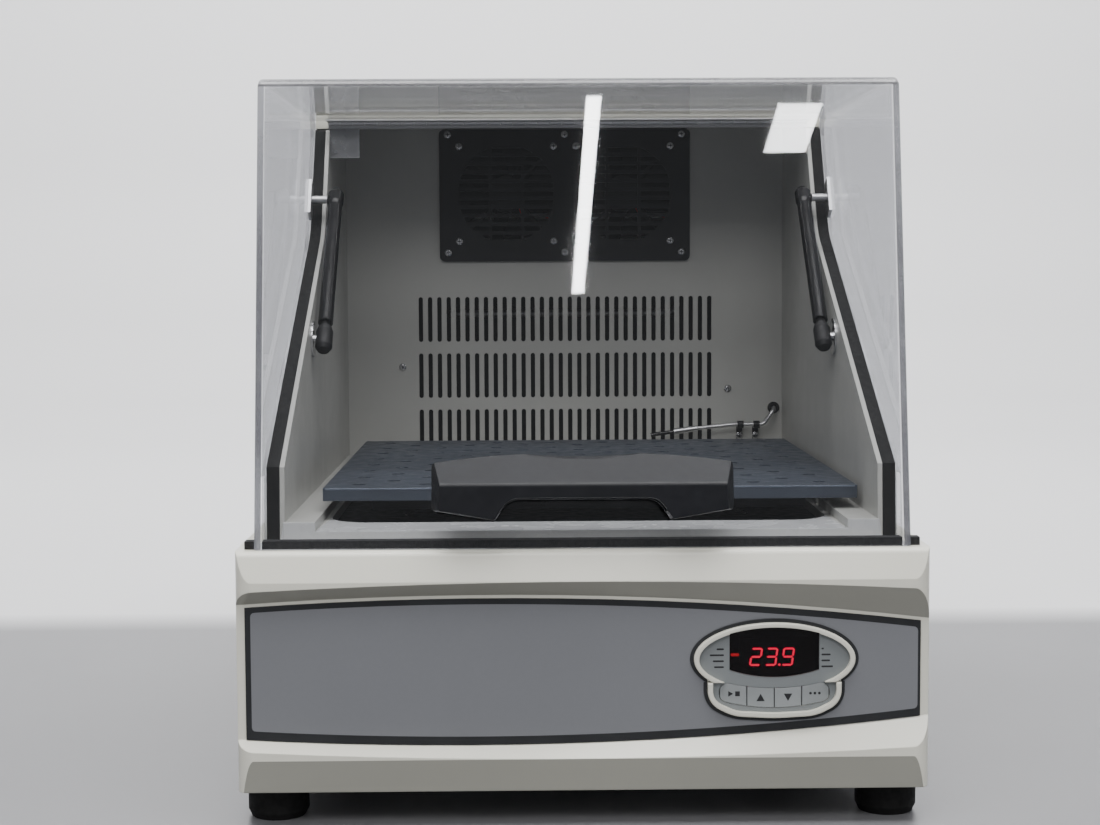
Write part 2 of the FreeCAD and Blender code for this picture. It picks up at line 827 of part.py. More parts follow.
def make_base():
    inner_half = "(body_width / 2 - cabinet_sheet)"
    shell = block("base_shell_outer",
                  ("body_width", f"{REAR} - {FRONT} - bezel_depth", "base_top - foot_height"),
                  ("-body_width / 2", f"{FRONT} + bezel_depth", "foot_height"))
    room = block("base_shell_room",
                 (f"2 * {inner_half}", f"{REAR} - {FRONT}", "base_top - foot_height"),
                 (f"-{inner_half}", FRONT, "foot_height - cabinet_sheet"))
    deck_hole = block("base_shell_deck_hole",
                      ("cabinet_width - 2 * insulation - 4 * sheet",
                       f"{REAR} - {FRONT} - deck_front - deck_back", "4 * cabinet_sheet"),
                      ("-cabinet_width / 2 + insulation + 2 * sheet",
                       f"{FRONT} + deck_front", "base_top - 2 * cabinet_sheet"))
    keep(cut("base_cabinet", shell, [room, deck_hole]))

    pan_half = "(body_width / 2 - cabinet_sheet - fit_gap)"
    pan_front = f"({FRONT} + bezel_depth + fit_gap)"
    pan_back = f"({REAR} - sheet - fit_gap)"
    pan = body("base_pan")
    ground = outline(pan, "base_pan_outline", "XY_Plane",
                     rectangle(f"-{pan_half}", pan_front, pan_half, pan_back))
    pad(pan, "base_pan_pad", ground, "pan_floor + pan_rim")
    hollow = outline(pan, "base_pan_hollow", "XY_Plane",
                     rectangle(f"-{pan_half} + sheet", f"{pan_front} + sheet",
                               f"{pan_half} - sheet", f"{pan_back} - sheet"),
                     "pan_floor + pan_rim")
    pocket(pan, "base_pan_pocket", hollow, "pan_rim")
    place(pan, ("0", "0", "foot_height"))
    keep(pan)

    feet = []
    for side in (-1, 1):
        for end in ("front", "back"):
            x = f"{side} * (body_width / 2 - foot_inset)"
            y = f"{FRONT} + foot_setback" if end == "front" else f"{REAR} - foot_setback"
            name = f"foot_{'left' if side < 0 else 'right'}_{end}"
            pillar = rod(name + "_pillar", "foot_radius", "foot_height * 0.8", (x, y, "foot_height * 0.2"))
            tread = doc.addObject("Part::Cone", name + "_tread")
            bind(tread, {"Radius1": "foot_radius * 0.88", "Radius2": "foot_radius",
                         "Height": "foot_height * 0.2"})
            place(tread, (x, y, "0"))
            feet.append(join(name, [pillar, tread]))
    keep(gather("rubber_feet", feet))

    panel = body("rear_panel")
    panel_half = "(body_width / 2 - cabinet_sheet - fit_gap)"
    face = outline(panel, "rear_panel_outline", "XZ_Plane",
                   rectangle(f"-{panel_half}", "foot_height", panel_half,
                             "base_top - cabinet_sheet - fit_gap"))
    pad(panel, "rear_panel_pad", face, "sheet")
    inlet_hole = outline(panel, "rear_panel_inlet", "XZ_Plane",
                         rectangle("inlet_x - inlet_width / 2 + cabinet_sheet",
                                   "inlet_height - inlet_tall / 2 + cabinet_sheet",
                                   "inlet_x + inlet_width / 2 - cabinet_sheet",
                                   "inlet_height + inlet_tall / 2 - cabinet_sheet"))
    pocket(panel, "rear_panel_inlet_hole", inlet_hole)
    switch_hole = outline(panel, "rear_panel_switch", "XZ_Plane",
                          rectangle("switch_x - rocker_width / 2 - cabinet_sheet",
                                    "inlet_height - rocker_tall / 2 - cabinet_sheet",
                                    "switch_x + rocker_width / 2 + cabinet_sheet",
                                    "inlet_height + rocker_tall / 2 + cabinet_sheet"))
    pocket(panel, "rear_panel_switch_hole", switch_hole)
    louvre = outline(panel, "rear_panel_louvre", "XZ_Plane",
                     rectangle("louvre_length / 2", "inlet_height",
                               "louvre_length * 1.5", "inlet_height + louvre_width"))
    first = pocket(panel, "rear_panel_louvre_hole", louvre)
    grid(panel, "rear_panel_louvres", first, louvre, ("louvre_length * 1.2", "louvre_pitch"), 2, LOUVRES)
    place(panel, ("0", REAR, "0"))
    keep(panel)


make_base()


# The sloping front edge of the cabinet's sides, from the base to under the hinge, as
# (setback, height) pairs.
rail_low = size.roof_height - size.rail_drop
toe = (size.cabinet_setback + size.toe_lean, size.base_top + size.toe_rise)
crest = (size.hinge_setback, rail_low - size.sheet)
kink = (crest[0] - size.steep_run, crest[1] - size.steep_rise)
edge_line = [(size.cabinet_setback, size.base_top), toe, kink, crest]
liner_inner = size.liner_inner
liner_half = liner_inner + size.liner_sheet
wall_at = front + size.back_wall_setback


def edge_strip(x, width, line, depth):
    """A strip that follows the sloping edge, with the bend rounded."""
    lower = beside(line, depth)
    lower[0] = (line[0][0] + depth, line[0][1])
    bends = [0, 0, size.slope_bend, 0]
    upper_points = [Vector(x, front + a, b) for a, b in line]
    lower_points = [Vector(x, front + a, b) for a, b in lower]
    under_bends = [0, 0, size.slope_bend + depth, 0]
    points = upper_points + lower_points[::-1]
    wire = rounded(points, bends + under_bends[::-1], closed=True)
    return prism(wire, RIGHT * width)


def edge_side(x, width, line, bend, rest):
    """A side plate whose front follows a sloping line; rest closes it at the back."""
    points = [Vector(x, front + a, b) for a, b in line + rest]
    radii = [0, 0, bend, 0] + [0] * len(rest)
    return prism(rounded(points, radii, closed=True), RIGHT * width)


def make_liner():
    clear = size.fit_gap
    back_out = size.back_wall_setback + size.liner_sheet
    low = size.base_top + clear
    line = [(edge_line[0][0], low)] + edge_line[1:]
    behind_rail = size.roof_front_setback + size.roof_chamfer + size.sheet + clear
    rest = [(behind_rail, crest[1]), (behind_rail, size.chamber_ceiling),
            (back_out, size.chamber_ceiling), (back_out, low)]
    pieces = []
    for side in (-1, 1):
        x = -liner_half if side < 0 else liner_inner
        pieces.append(edge_side(x, size.liner_sheet, line, size.slope_bend, rest))
        flange_x = -liner_half - size.liner_flange if side < 0 else liner_half
        pieces.append(edge_strip(flange_x, size.liner_flange, line, size.liner_sheet))
    wall = box_at((-liner_half, wall_at, low), (liner_half, wall_at + size.liner_sheet,
                                                size.chamber_ceiling))
    ceiling = box_at((-liner_half, front + behind_rail, size.chamber_ceiling - size.liner_sheet),
                     (liner_half, wall_at, size.chamber_ceiling))
    floor_low = size.floor_height - size.liner_sheet
    well = rounded_box(size.well_half_width, size.well_front_setback, size.well_back_setback,
                       size.well_radius, size.floor_height - size.well_depth, size.floor_height)
    well_rim = rounded_box(size.well_half_width + size.liner_sheet,
                           size.well_front_setback - size.liner_sheet,
                           size.well_back_setback + size.liner_sheet,
                           size.well_radius + size.liner_sheet,
                           size.floor_height - size.well_depth, size.floor_height)
    floor = box_at((-liner_half, front + size.cabinet_setback, floor_low),
                   (liner_half, wall_at, size.floor_height))
    sill = box_at((-liner_half, front + size.cabinet_setback, low),
                  (liner_half, front + size.cabinet_setback + size.liner_sheet, size.floor_height))
    pieces += [ceiling, floor.fuse(well_rim), sill]
    for side in (-1, 1):
        inner = side * size.ledge_inner
        outer = side * liner_half
        x_low, x_high = sorted((inner, outer))
        whole = box_at((x_low, front + size.cabinet_setback, floor_low),
                       (x_high, wall_at, size.ledge_height))
        room = box_at((x_low + size.liner_sheet, front + size.cabinet_setback + size.liner_sheet,
                       floor_low - size.cut_over),
                      (x_high - size.liner_sheet, wall_at, size.ledge_height - size.liner_sheet))
        pieces.append(whole.cut(room))
    shell = wall.fuse(pieces)
    shell = shell.cut(well)
    shell = shell.cut(wall_openings())
    keep(solid("chamber_liner", shell.removeSplitter()))


def rounded_box(half_width, setback_low, setback_high, radius, low, high):
    points = [Vector(-half_width, front + setback_low, low), Vector(half_width, front + setback_low, low),
              Vector(half_width, front + setback_high, low), Vector(-half_width, front + setback_high, low)]
    return prism(rounded(points, [radius] * 4, closed=True), UP * (high - low))


def wall_openings():
    """The vent slots, the fan openings and the probe's hole, as one tool."""
    start = wall_at - size.cut_over
    through = size.liner_sheet + 2 * size.cut_over
    tools = []
    end = size.slot_width / 2
    for row in range(SLOT_ROWS):
        height = size.slot_first_row + row * size.slot_row_pitch
        for column in range(SLOT_COLUMNS):
            x = (column - (SLOT_COLUMNS - 1) / 2) * size.slot_pitch
            low = height - size.slot_length / 2
            high = height + size.slot_length / 2
            points = [Vector(x - end, start, low + end), Vector(x - end, start, high - end),
                      Vector(x, start, high), Vector(x + end, start, high - end),
                      Vector(x + end, start, low + end), Vector(x, start, low)]
            edges = [
                Part.LineSegment(points[0], points[1]).toShape(),
                arc_through(points[1], points[2], points[3]),
                Part.LineSegment(points[3], points[4]).toShape(),
                arc_through(points[4], points[5], points[0]),
            ]
            tools.append(prism(Part.Wire(edges), BACK * through))
    for side in (-1, 1):
        centre = Vector(side * size.fan_spacing / 2, start, size.fan_axis_height)
        tools.append(Part.makeCylinder(size.fan_bore_radius, through, centre, BACK))
    port = Vector(size.probe_port_x, start, size.probe_port_height)
    tools.append(Part.makeCylinder(2 * size.probe_radius, through, port, BACK))
    return Part.makeCompound(tools)


def make_cabinet():
    shell_line = beside(edge_line, size.gasket_depth)
    shell_line[0] = (size.cabinet_setback + size.gasket_depth, size.base_top)
    roof_in = size.roof_front_setback + size.sheet
    roof_under = size.roof_height - size.sheet
    slant = size.sheet * math.tan(math.pi / 8)
    rest = [(roof_in, shell_line[-1][1]), (roof_in, size.roof_height - size.roof_chamfer - slant),
            (size.roof_front_setback + size.roof_chamfer + slant, roof_under),
            (rear - front - size.sheet, roof_under), (rear - front - size.sheet, size.base_top)]
    pieces = []
    for side in (-1, 1):
        x = -size.cabinet_width / 2 if side < 0 else size.cabinet_width / 2 - size.sheet
        pieces.append(edge_side(x, size.sheet, shell_line, size.slope_bend + size.gasket_depth, rest))
    back = box_at((-size.cabinet_width / 2, rear - size.sheet, size.base_top),
                  (size.cabinet_width / 2, rear, roof_under))
    keep(solid("cabinet_shell", back.fuse(pieces)))

    inner = liner_half + size.liner_flange + size.fit_gap
    width = size.cabinet_width / 2 - inner
    line = [(edge_line[0][0], size.base_top + size.fit_gap)] + edge_line[1:]
    strips = [edge_strip(x, width, line, size.gasket_depth) for x in (-size.cabinet_width / 2, inner)]
    keep(solid("side_gaskets", Part.makeCompound(strips)))

    roof = body("top_panel")
    chamfer = "roof_chamfer"
    fold = "sheet * tan(22.5)"
    lip_at = f"{FRONT} + roof_front_setback"
    points = [
        (lip_at, "roof_height - rail_drop"),
        (f"{lip_at} + sheet", "roof_height - rail_drop"),
        (f"{lip_at} + sheet", f"roof_height - {chamfer} - {fold}"),
        (f"{lip_at} + {chamfer} + {fold}", "roof_height - sheet"),
        (REAR, "roof_height - sheet"),
        (REAR, "roof_height"),
        (f"{lip_at} + {chamfer}", "roof_height"),
        (lip_at, f"roof_height - {chamfer}"),
    ]
    section = outline(roof, "top_panel_section", "YZ_Plane", points)
    pad(roof, "top_panel_pad", section, "cabinet_width", both_ways=True)
    keep(roof)


def make_base_gasket():
    gap = "(lid_width / 2 + 2 * fit_gap)"
    inner = "(lid_width / 2 - lid_sheet - fit_gap)"
    y = f"{FRONT} + seal_setback"
    middle = block("seal_middle", (f"2 * {inner}", "seal_depth", "seal_height"),
                   (f"-{inner}", y, "base_top"))
    ends = []
    for side, corner in (("left", "-seal_half_width"), ("right", gap)):
        ends.append(block(f"seal_{side}", (f"seal_half_width - {gap}", "seal_depth", "seal_height"),
                          (corner, y, "base_top")))
    keep(gather("base_gasket", [middle] + ends))


make_liner()
make_cabinet()
make_base_gasket()


def make_fans():
    plate_at = wall_at - size.fan_plate_thickness
    half_plate = size.fan_plate_width / 2
    corners = [Vector(-half_plate, plate_at, size.fan_plate_low),
               Vector(half_plate, plate_at, size.fan_plate_low),
               Vector(half_plate, plate_at, size.fan_plate_high),
               Vector(-half_plate, plate_at, size.fan_plate_high)]
    plate = prism(rounded(corners, [size.fan_plate_corner] * 4, closed=True),
                  BACK * size.fan_plate_thickness)
    tools = []
    for side in (-1, 1):
        rows = []
        centre_x = side * size.fan_spacing / 2
        cell = 2 * size.grille_radius / 3
        for row in range(GRILLE_ROWS):
            height = size.fan_axis_height + (row - (GRILLE_ROWS - 1) / 2) * size.grille_pitch
            for column in range(3):
                left = centre_x - size.grille_radius + column * cell + size.grille_rib / 2
                rows.append(box_at(
                    (left, plate_at - size.cut_over, height - size.grille_slot / 2),
                    (left + cell - size.grille_rib, wall_at + size.cut_over,
                     height + size.grille_slot / 2)))
        disc = Part.makeCylinder(size.grille_radius, size.fan_plate_thickness + 2 * size.cut_over,
                                 Vector(centre_x, plate_at - size.cut_over, size.fan_axis_height), BACK)
        tools.append(Part.makeCompound(rows).common(disc))
    keep(solid("fan_plate", plate.cut(Part.makeCompound(tools))))

    frames = []
    behind = wall_at + size.liner_sheet
    half = size.fan_size / 2
    for side in (-1, 1):
        x = side * size.fan_spacing / 2
        z = size.fan_axis_height
        frame = box_at((x - half, behind, z - half), (x + half, behind + size.fan_depth, z + half))
        frame = frame.cut(Part.makeCylinder(size.fan_bore_radius, size.fan_depth,
                                            Vector(x, behind, z), BACK))
        arm_depth = size.fan_depth / 8
        hub = Part.makeCylinder(size.fan_hub_radius, arm_depth, Vector(x, behind, z), BACK)
        axle = Part.makeCylinder(size.fan_hub_radius / 8, size.fan_depth * 0.8,
                                 Vector(x, behind, z), BACK)
        arms = []
        for turn in range(4):
            arm = box_at((0, 0, -arm_depth / 2),
                         (size.fan_bore_radius + arm_depth / 2, arm_depth, arm_depth / 2))
            arm.rotate(Vector(), BACK, 45 + turn * 90)
            arm.translate(Vector(x, behind, z))
            arms.append(arm)
        for dx in (-1, 1):
            for dz in (-1, 1):
                hole = Part.makeCylinder(size.screw_head_radius / 2, size.fan_depth, Vector(
                    x + dx * size.fan_hole_pitch / 2, behind, z + dz * size.fan_hole_pitch / 2), BACK)
                frame = frame.cut(hole)
        frames.append(frame.fuse([hub, axle] + arms).removeSplitter())
    keep(solid("fan_frames", Part.makeCompound(frames)))

    for side, name in ((-1, "fan_rotor_left"), (1, "fan_rotor_right")):
        keep(solid(name, fan_rotor(Vector(side * size.fan_spacing / 2, behind, size.fan_axis_height))))


def fan_rotor(centre):
    """A hub with pitched blades that turns on the frame's axle."""
    room = size.fan_depth * 0.18
    depth = size.fan_depth * 0.7
    hub = Part.makeCylinder(size.fan_hub_radius, depth, Vector(0, room, 0), BACK)
    blades = []
    blade_length = size.fan_bore_radius - size.running_gap * 30
    for index in range(FAN_BLADES):
        blade = box_at((size.fan_hub_radius * 0.8, 0, -size.fan_hub_radius * 0.5),
                       (blade_length, size.liner_sheet, size.fan_hub_radius * 0.5))
        middle = Vector(size.fan_hub_radius, size.liner_sheet / 2, 0)
        blade.rotate(middle, RIGHT, 38)
        blade.translate(Vector(0, room + depth / 2, 0))
        blade.rotate(Vector(), BACK, index * 360 / FAN_BLADES)
        blades.append(blade)
    rim = Part.makeCylinder(blade_length, depth, Vector(0, room, 0), BACK)
    rotor = hub.fuse(blades).common(rim)
    bore = Part.makeCylinder(size.fan_hub_radius / 8 + size.running_gap, size.fan_depth,
                             Vector(), BACK)
    rotor = rotor.cut(bore).removeSplitter()
    rotor.translate(centre)
    return rotor


def make_duct():
    sheet_in = "liner_sheet"
    back = f"({FRONT} + back_wall_setback + liner_sheet)"
    outer = block("duct_outer", ("2 * duct_half_width", "duct_depth", "duct_high - duct_low"),
                  ("-duct_half_width", back, "duct_low"))
    room = block("duct_room", (f"2 * duct_half_width - 2 * {sheet_in}",
                               f"duct_depth - {sheet_in} + cut_over",
                               f"duct_high - duct_low - 2 * {sheet_in}"),
                 (f"-duct_half_width + {sheet_in}", f"{back} - cut_over", f"duct_low + {sheet_in}"))
    keep(cut("air_duct", outer, [room]))

    rod_at = wall_at + size.duct_depth - 6 * size.heater_radius
    end = wall_at + size.duct_depth
    half = size.heater_half_width
    points = [Vector(-half, end, size.heater_low)]
    for run in range(HEATER_RUNS):
        height = size.heater_low + run * size.heater_step
        across = (-half, half) if run % 2 == 0 else (half, -half)
        points.append(Vector(across[0], rod_at, height))
        points.append(Vector(across[1], rod_at, height))
    points.append(Vector(half if HEATER_RUNS % 2 else -half, end, points[-1].z))
    keep(solid("heater_element", tube(points, size.heater_radius, 2.5 * size.heater_radius)))


def make_probe():
    run_at = wall_at - size.probe_standoff
    port = Vector(size.probe_port_x, wall_at + size.liner_sheet + size.cut_over, size.probe_port_height)
    points = [
        port,
        Vector(size.probe_port_x, run_at, size.probe_port_height),
        Vector(size.probe_clip_right_x + size.probe_bend_radius, run_at, size.probe_clip_height),
        Vector(size.probe_clip_left_x - size.probe_bend_radius, run_at, size.probe_clip_height),
        Vector(size.probe_bend_x, run_at, size.probe_bend_height),
        Vector(size.probe_tip_x, run_at, size.probe_tip_height),
    ]
    lead = tube(points, size.probe_radius, size.probe_bend_radius)
    way = (points[-2] - points[-1]).normalize()
    sleeve = Part.makeCylinder(size.probe_radius * 1.5, size.probe_sleeve_length,
                               points[-1] + way * size.probe_sleeve_length, way)
    probe = lead.fuse(sleeve)
    keep(solid("temperature_probe", probe))
    print("probe lead volume", lead.Volume, "bend radius", size.probe_bend_radius)

    clips = []
    band = size.probe_radius * 1.9
    for x in (size.probe_clip_left_x, size.probe_clip_right_x):
        width = band * 1.6
        ring = Part.makeCylinder(band, width, Vector(x - width / 2, run_at, size.probe_clip_height), RIGHT)
        leg = box_at((x - width / 2, run_at, size.probe_clip_height - band),
                     (x + width / 2, wall_at, size.probe_clip_height))
        foot = box_at((x - width / 2, wall_at - size.liner_sheet, size.probe_clip_height - 4 * band),
                      (x + width / 2, wall_at, size.probe_clip_height))
        bore = Part.makeCylinder(size.probe_radius + size.running_gap, width,
                                 Vector(x - width / 2, run_at, size.probe_clip_height), RIGHT)
        clips.append(ring.fuse([leg, foot]).cut(bore).removeSplitter())
    keep(solid("probe_clips", Part.makeCompound(clips)))

    grommet = turned("probe_grommet", [
        ("probe_radius + running_gap", "-liner_sheet * 2"),
        ("2 * probe_radius - running_gap", "-liner_sheet * 2"),
        ("2 * probe_radius - running_gap", "0"),
        ("3 * probe_radius", "0"),
        ("3 * probe_radius", "liner_sheet"),
        ("2.2 * probe_radius", "2 * liner_sheet"),
        ("probe_radius + running_gap", "2 * liner_sheet"),
    ], ("probe_port_x", f"{FRONT} + back_wall_setback", "probe_port_height"), -BACK)
    keep(grommet)


make_fans()
make_duct()
make_probe()


# The lid's front face leans back; its lower front edge and its top front edge.
lid_low = size.base_top + size.fit_gap
lean_angle = math.atan2(size.lid_lean, size.lid_top - lid_low)
half_lid = size.lid_width / 2


def make_lid():
    overlap_line = beside(edge_line, size.lid_overlap)
    overlap_line[0] = (size.cabinet_setback + size.lid_overlap, lid_low)
    top_front = (size.lid_setback + size.lid_lean, size.lid_top)
    outline_points = [(size.lid_setback, lid_low), top_front, (size.lid_rear_setback, size.lid_top),
                      (overlap_line[-1][0], size.hinge_height)] + overlap_line[::-1]
    points = [Vector(-half_lid, front + a, b) for a, b in outline_points]
    radii = [0, size.lid_corner, 0, 0, 0, size.slope_bend + size.lid_overlap, 0, 0]
    hood = prism(rounded(points, radii, closed=True), RIGHT * size.lid_width)
    across = size.lid_sheet / math.cos(lean_angle)
    slope = size.lid_lean / (size.lid_top - lid_low)
    inner_top = size.lid_top - size.lid_sheet
    drop = size.cut_over
    room = [
        (size.lid_setback + across - drop * slope, lid_low - drop),
        (size.lid_setback + across + slope * (inner_top - lid_low), inner_top),
        (size.lid_rear_setback, inner_top),
        (size.lid_rear_setback, size.lid_top + drop),
        (size.roof_front_setback + size.lid_overlap + drop, size.lid_top + drop),
        (size.roof_front_setback + size.lid_overlap + drop, lid_low - drop),
    ]
    inner_points = [Vector(-half_lid + size.lid_sheet, front + a, b) for a, b in room]
    inner_corner = size.lid_corner - size.lid_sheet
    inner = prism(rounded(inner_points, [0, inner_corner, 0, 0, 0, 0], closed=True),
                  RIGHT * (size.lid_width - 2 * size.lid_sheet))
    edges = [edge for edge in hood.Edges
             if abs(abs(edge.CenterOfMass.x) - half_lid) < size.running_gap
             and (edge.CenterOfMass.z > size.lid_top - size.lid_corner
                  or edge.CenterOfMass.y < front + size.lid_setback + size.lid_lean)
             and edge.CenterOfMass.z > lid_low + size.lid_corner
             and edge.CenterOfMass.y < front + size.lid_rear_setback - size.lid_corner]
    hood = hood.makeFillet(size.lid_sheet * 0.7, edges)
    keep(solid("lid", hood.cut(inner)))


def scoop(ridge, crown):
    """A ball that dips into the slope from the ridge to the crown, at the crown's end."""
    slope = (crown - ridge).normalize()
    normal = RIGHT.cross(slope)
    if normal.y > 0:
        normal = -normal
    ring = (size.scoop_half_width ** 2 + size.scoop_reach ** 2) / (2 * size.scoop_reach)
    behind = ring - size.scoop_reach
    lift = (ring ** 2 - behind ** 2 - size.scoop_depth ** 2) / (2 * size.scoop_depth)
    return Part.makeSphere(math.hypot(ring, lift), crown + slope * behind + normal * lift)


def handle_form(proud):
    """Modelled upright, outwards along -Y, then leaned with the lid and set on it."""
    half = size.handle_half_width
    top = size.handle_top
    arch = size.handle_arch
    arch_half = size.handle_arch_half_width
    shoulder = top * 0.86
    end_foot = arch * 0.5
    face = [
        Vector(-half, 0, end_foot), Vector(-arch_half, 0, 0), Vector(-arch_half * 0.84, 0, arch),
        Vector(arch_half * 0.84, 0, arch), Vector(arch_half, 0, 0), Vector(half, 0, end_foot),
        Vector(half, 0, shoulder), Vector(half * 0.55, 0, top), Vector(-half * 0.55, 0, top),
        Vector(-half, 0, shoulder),
    ]
    corner = size.handle_wall
    radii = [corner / 2, corner / 4, corner * 2, corner * 2, corner / 4, corner / 2,
             corner / 2, corner * 60, corner * 60, corner / 2]
    front_form = prism(rounded(face, radii, closed=True), -BACK * proud * 1.5)
    side = [
        Vector(-half, 0, -arch), Vector(-half, -proud * 0.86, -arch),
        Vector(-half, -proud, size.handle_edge), Vector(-half, 0, top * 1.02),
    ]
    side_form = prism(rounded(side, [0, corner, corner / 2, 0], closed=True), RIGHT * 2 * half)
    narrow = half * 0.93
    plan = [Vector(-half, 0, -arch), Vector(half, 0, -arch), Vector(narrow, -proud * 1.1, -arch),
            Vector(-narrow, -proud * 1.1, -arch)]
    plan_form = prism(Part.makePolygon(plan + plan[:1]), UP * 2 * top)
    grip = front_form.common(side_form).common(plan_form)
    pocket_half = arch_half * 0.94
    finger_room = [
        Vector(-pocket_half, -corner / 2, -arch), Vector(-pocket_half, -proud + corner, -arch),
        Vector(-pocket_half, -proud + corner, size.handle_edge - corner),
        Vector(-pocket_half, -corner / 2, size.handle_edge - corner / 2),
    ]
    hollow = prism(rounded(finger_room, [0, 0, corner / 2, corner / 2], closed=True),
                   RIGHT * 2 * pocket_half)
    ridge = Vector(0, -proud, size.handle_edge)
    crown = Vector(0, 0, top * 1.02)
    grip = grip.cut(hollow).cut(scoop(ridge, crown)).removeSplitter()
    grip.rotate(Vector(), RIGHT, -math.degrees(lean_angle))
    rise = size.handle_foot
    at = front + size.lid_setback + size.lid_lean * rise / (size.lid_top - lid_low)
    grip.translate(Vector(0, at, lid_low + rise))
    return grip


def make_handle():
    """The handle's front is the front of the whole object, so its reach is fitted to that."""
    proud = size.handle_proud
    grip = handle_form(proud)
    for _ in range(2):
        proud += (grip.BoundBox.YMin + size.overall_depth / 2) / math.cos(lean_angle)
        grip = handle_form(proud)
    keep(solid("lid_handle", grip))


def make_hinge():
    axis_y = front + size.hinge_setback
    axis_z = size.hinge_height
    length = 2 * size.hinge_half_width / KNUCKLES
    lid_knuckles = []
    body_knuckles = []
    for index in range(KNUCKLES):
        x = -size.hinge_half_width + index * length
        barrel = Part.makeCylinder(size.knuckle_radius, length - 2 * size.fit_gap,
                                   Vector(x + size.fit_gap, axis_y, axis_z), RIGHT)
        under_lid = size.lid_top - size.lid_sheet
        if index % 2:
            web = box_at((x + size.fit_gap, axis_y - size.hinge_leaf_depth, under_lid - size.hinge_leaf),
                         (x + length - size.fit_gap, axis_y, under_lid))
            lid_knuckles += [barrel, web]
        else:
            web = box_at((x + size.fit_gap, axis_y, axis_z - size.knuckle_radius),
                         (x + length - size.fit_gap,
                          front + size.roof_front_setback, axis_z - size.knuckle_radius + size.hinge_leaf))
            body_knuckles += [barrel, web]
    bore = Part.makeCylinder(size.hinge_pin_radius + size.running_gap, 2 * size.hinge_half_width,
                             Vector(-size.hinge_half_width, axis_y, axis_z), RIGHT)
    clear = size.fit_gap + size.knuckle_radius
    plate = box_at((-size.hinge_half_width, axis_y - size.hinge_leaf_depth,
                    size.lid_top - size.lid_sheet - size.hinge_leaf),
                   (size.hinge_half_width, axis_y - clear, size.lid_top - size.lid_sheet))
    lid_leaf = plate.fuse(lid_knuckles).cut(bore)
    keep(solid("hinge_lid_leaf", lid_leaf.removeSplitter()))
    rail_at = front + size.roof_front_setback
    strip = box_at((-size.hinge_half_width, rail_at - size.hinge_leaf, rail_low),
                   (size.hinge_half_width, rail_at, axis_z - size.knuckle_radius + size.hinge_leaf))
    body_leaf = strip.fuse(body_knuckles).cut(bore)
    keep(solid("hinge_body_leaf", body_leaf.removeSplitter()))

    pin = rod("hinge_pin", "hinge_pin_radius", "2 * hinge_half_width",
              ("-hinge_half_width", f"{FRONT} + hinge_setback", "hinge_height"), RIGHT)
    keep(pin)


make_lid()
make_handle()
make_hinge()

strut_low = Vector(0, front + size.strut_low_setback, size.strut_low_height)
strut_high = Vector(0, front + size.strut_high_setback, size.strut_high_height)
strut_way = (strut_high - strut_low).normalize()
strut_length = (strut_high - strut_low).Length


def lathe(points, start, way):
    """A round solid from (radius, distance) pairs along a direction."""
    corners = [Vector(radius, 0, along) for radius, along in points]
    face = Part.Face(Part.makePolygon(corners + corners[:1]))
    shape = face.revolve(Vector(), UP, 360)
    shape.Placement = Placement(start, Rotation(UP, way))
    return shape


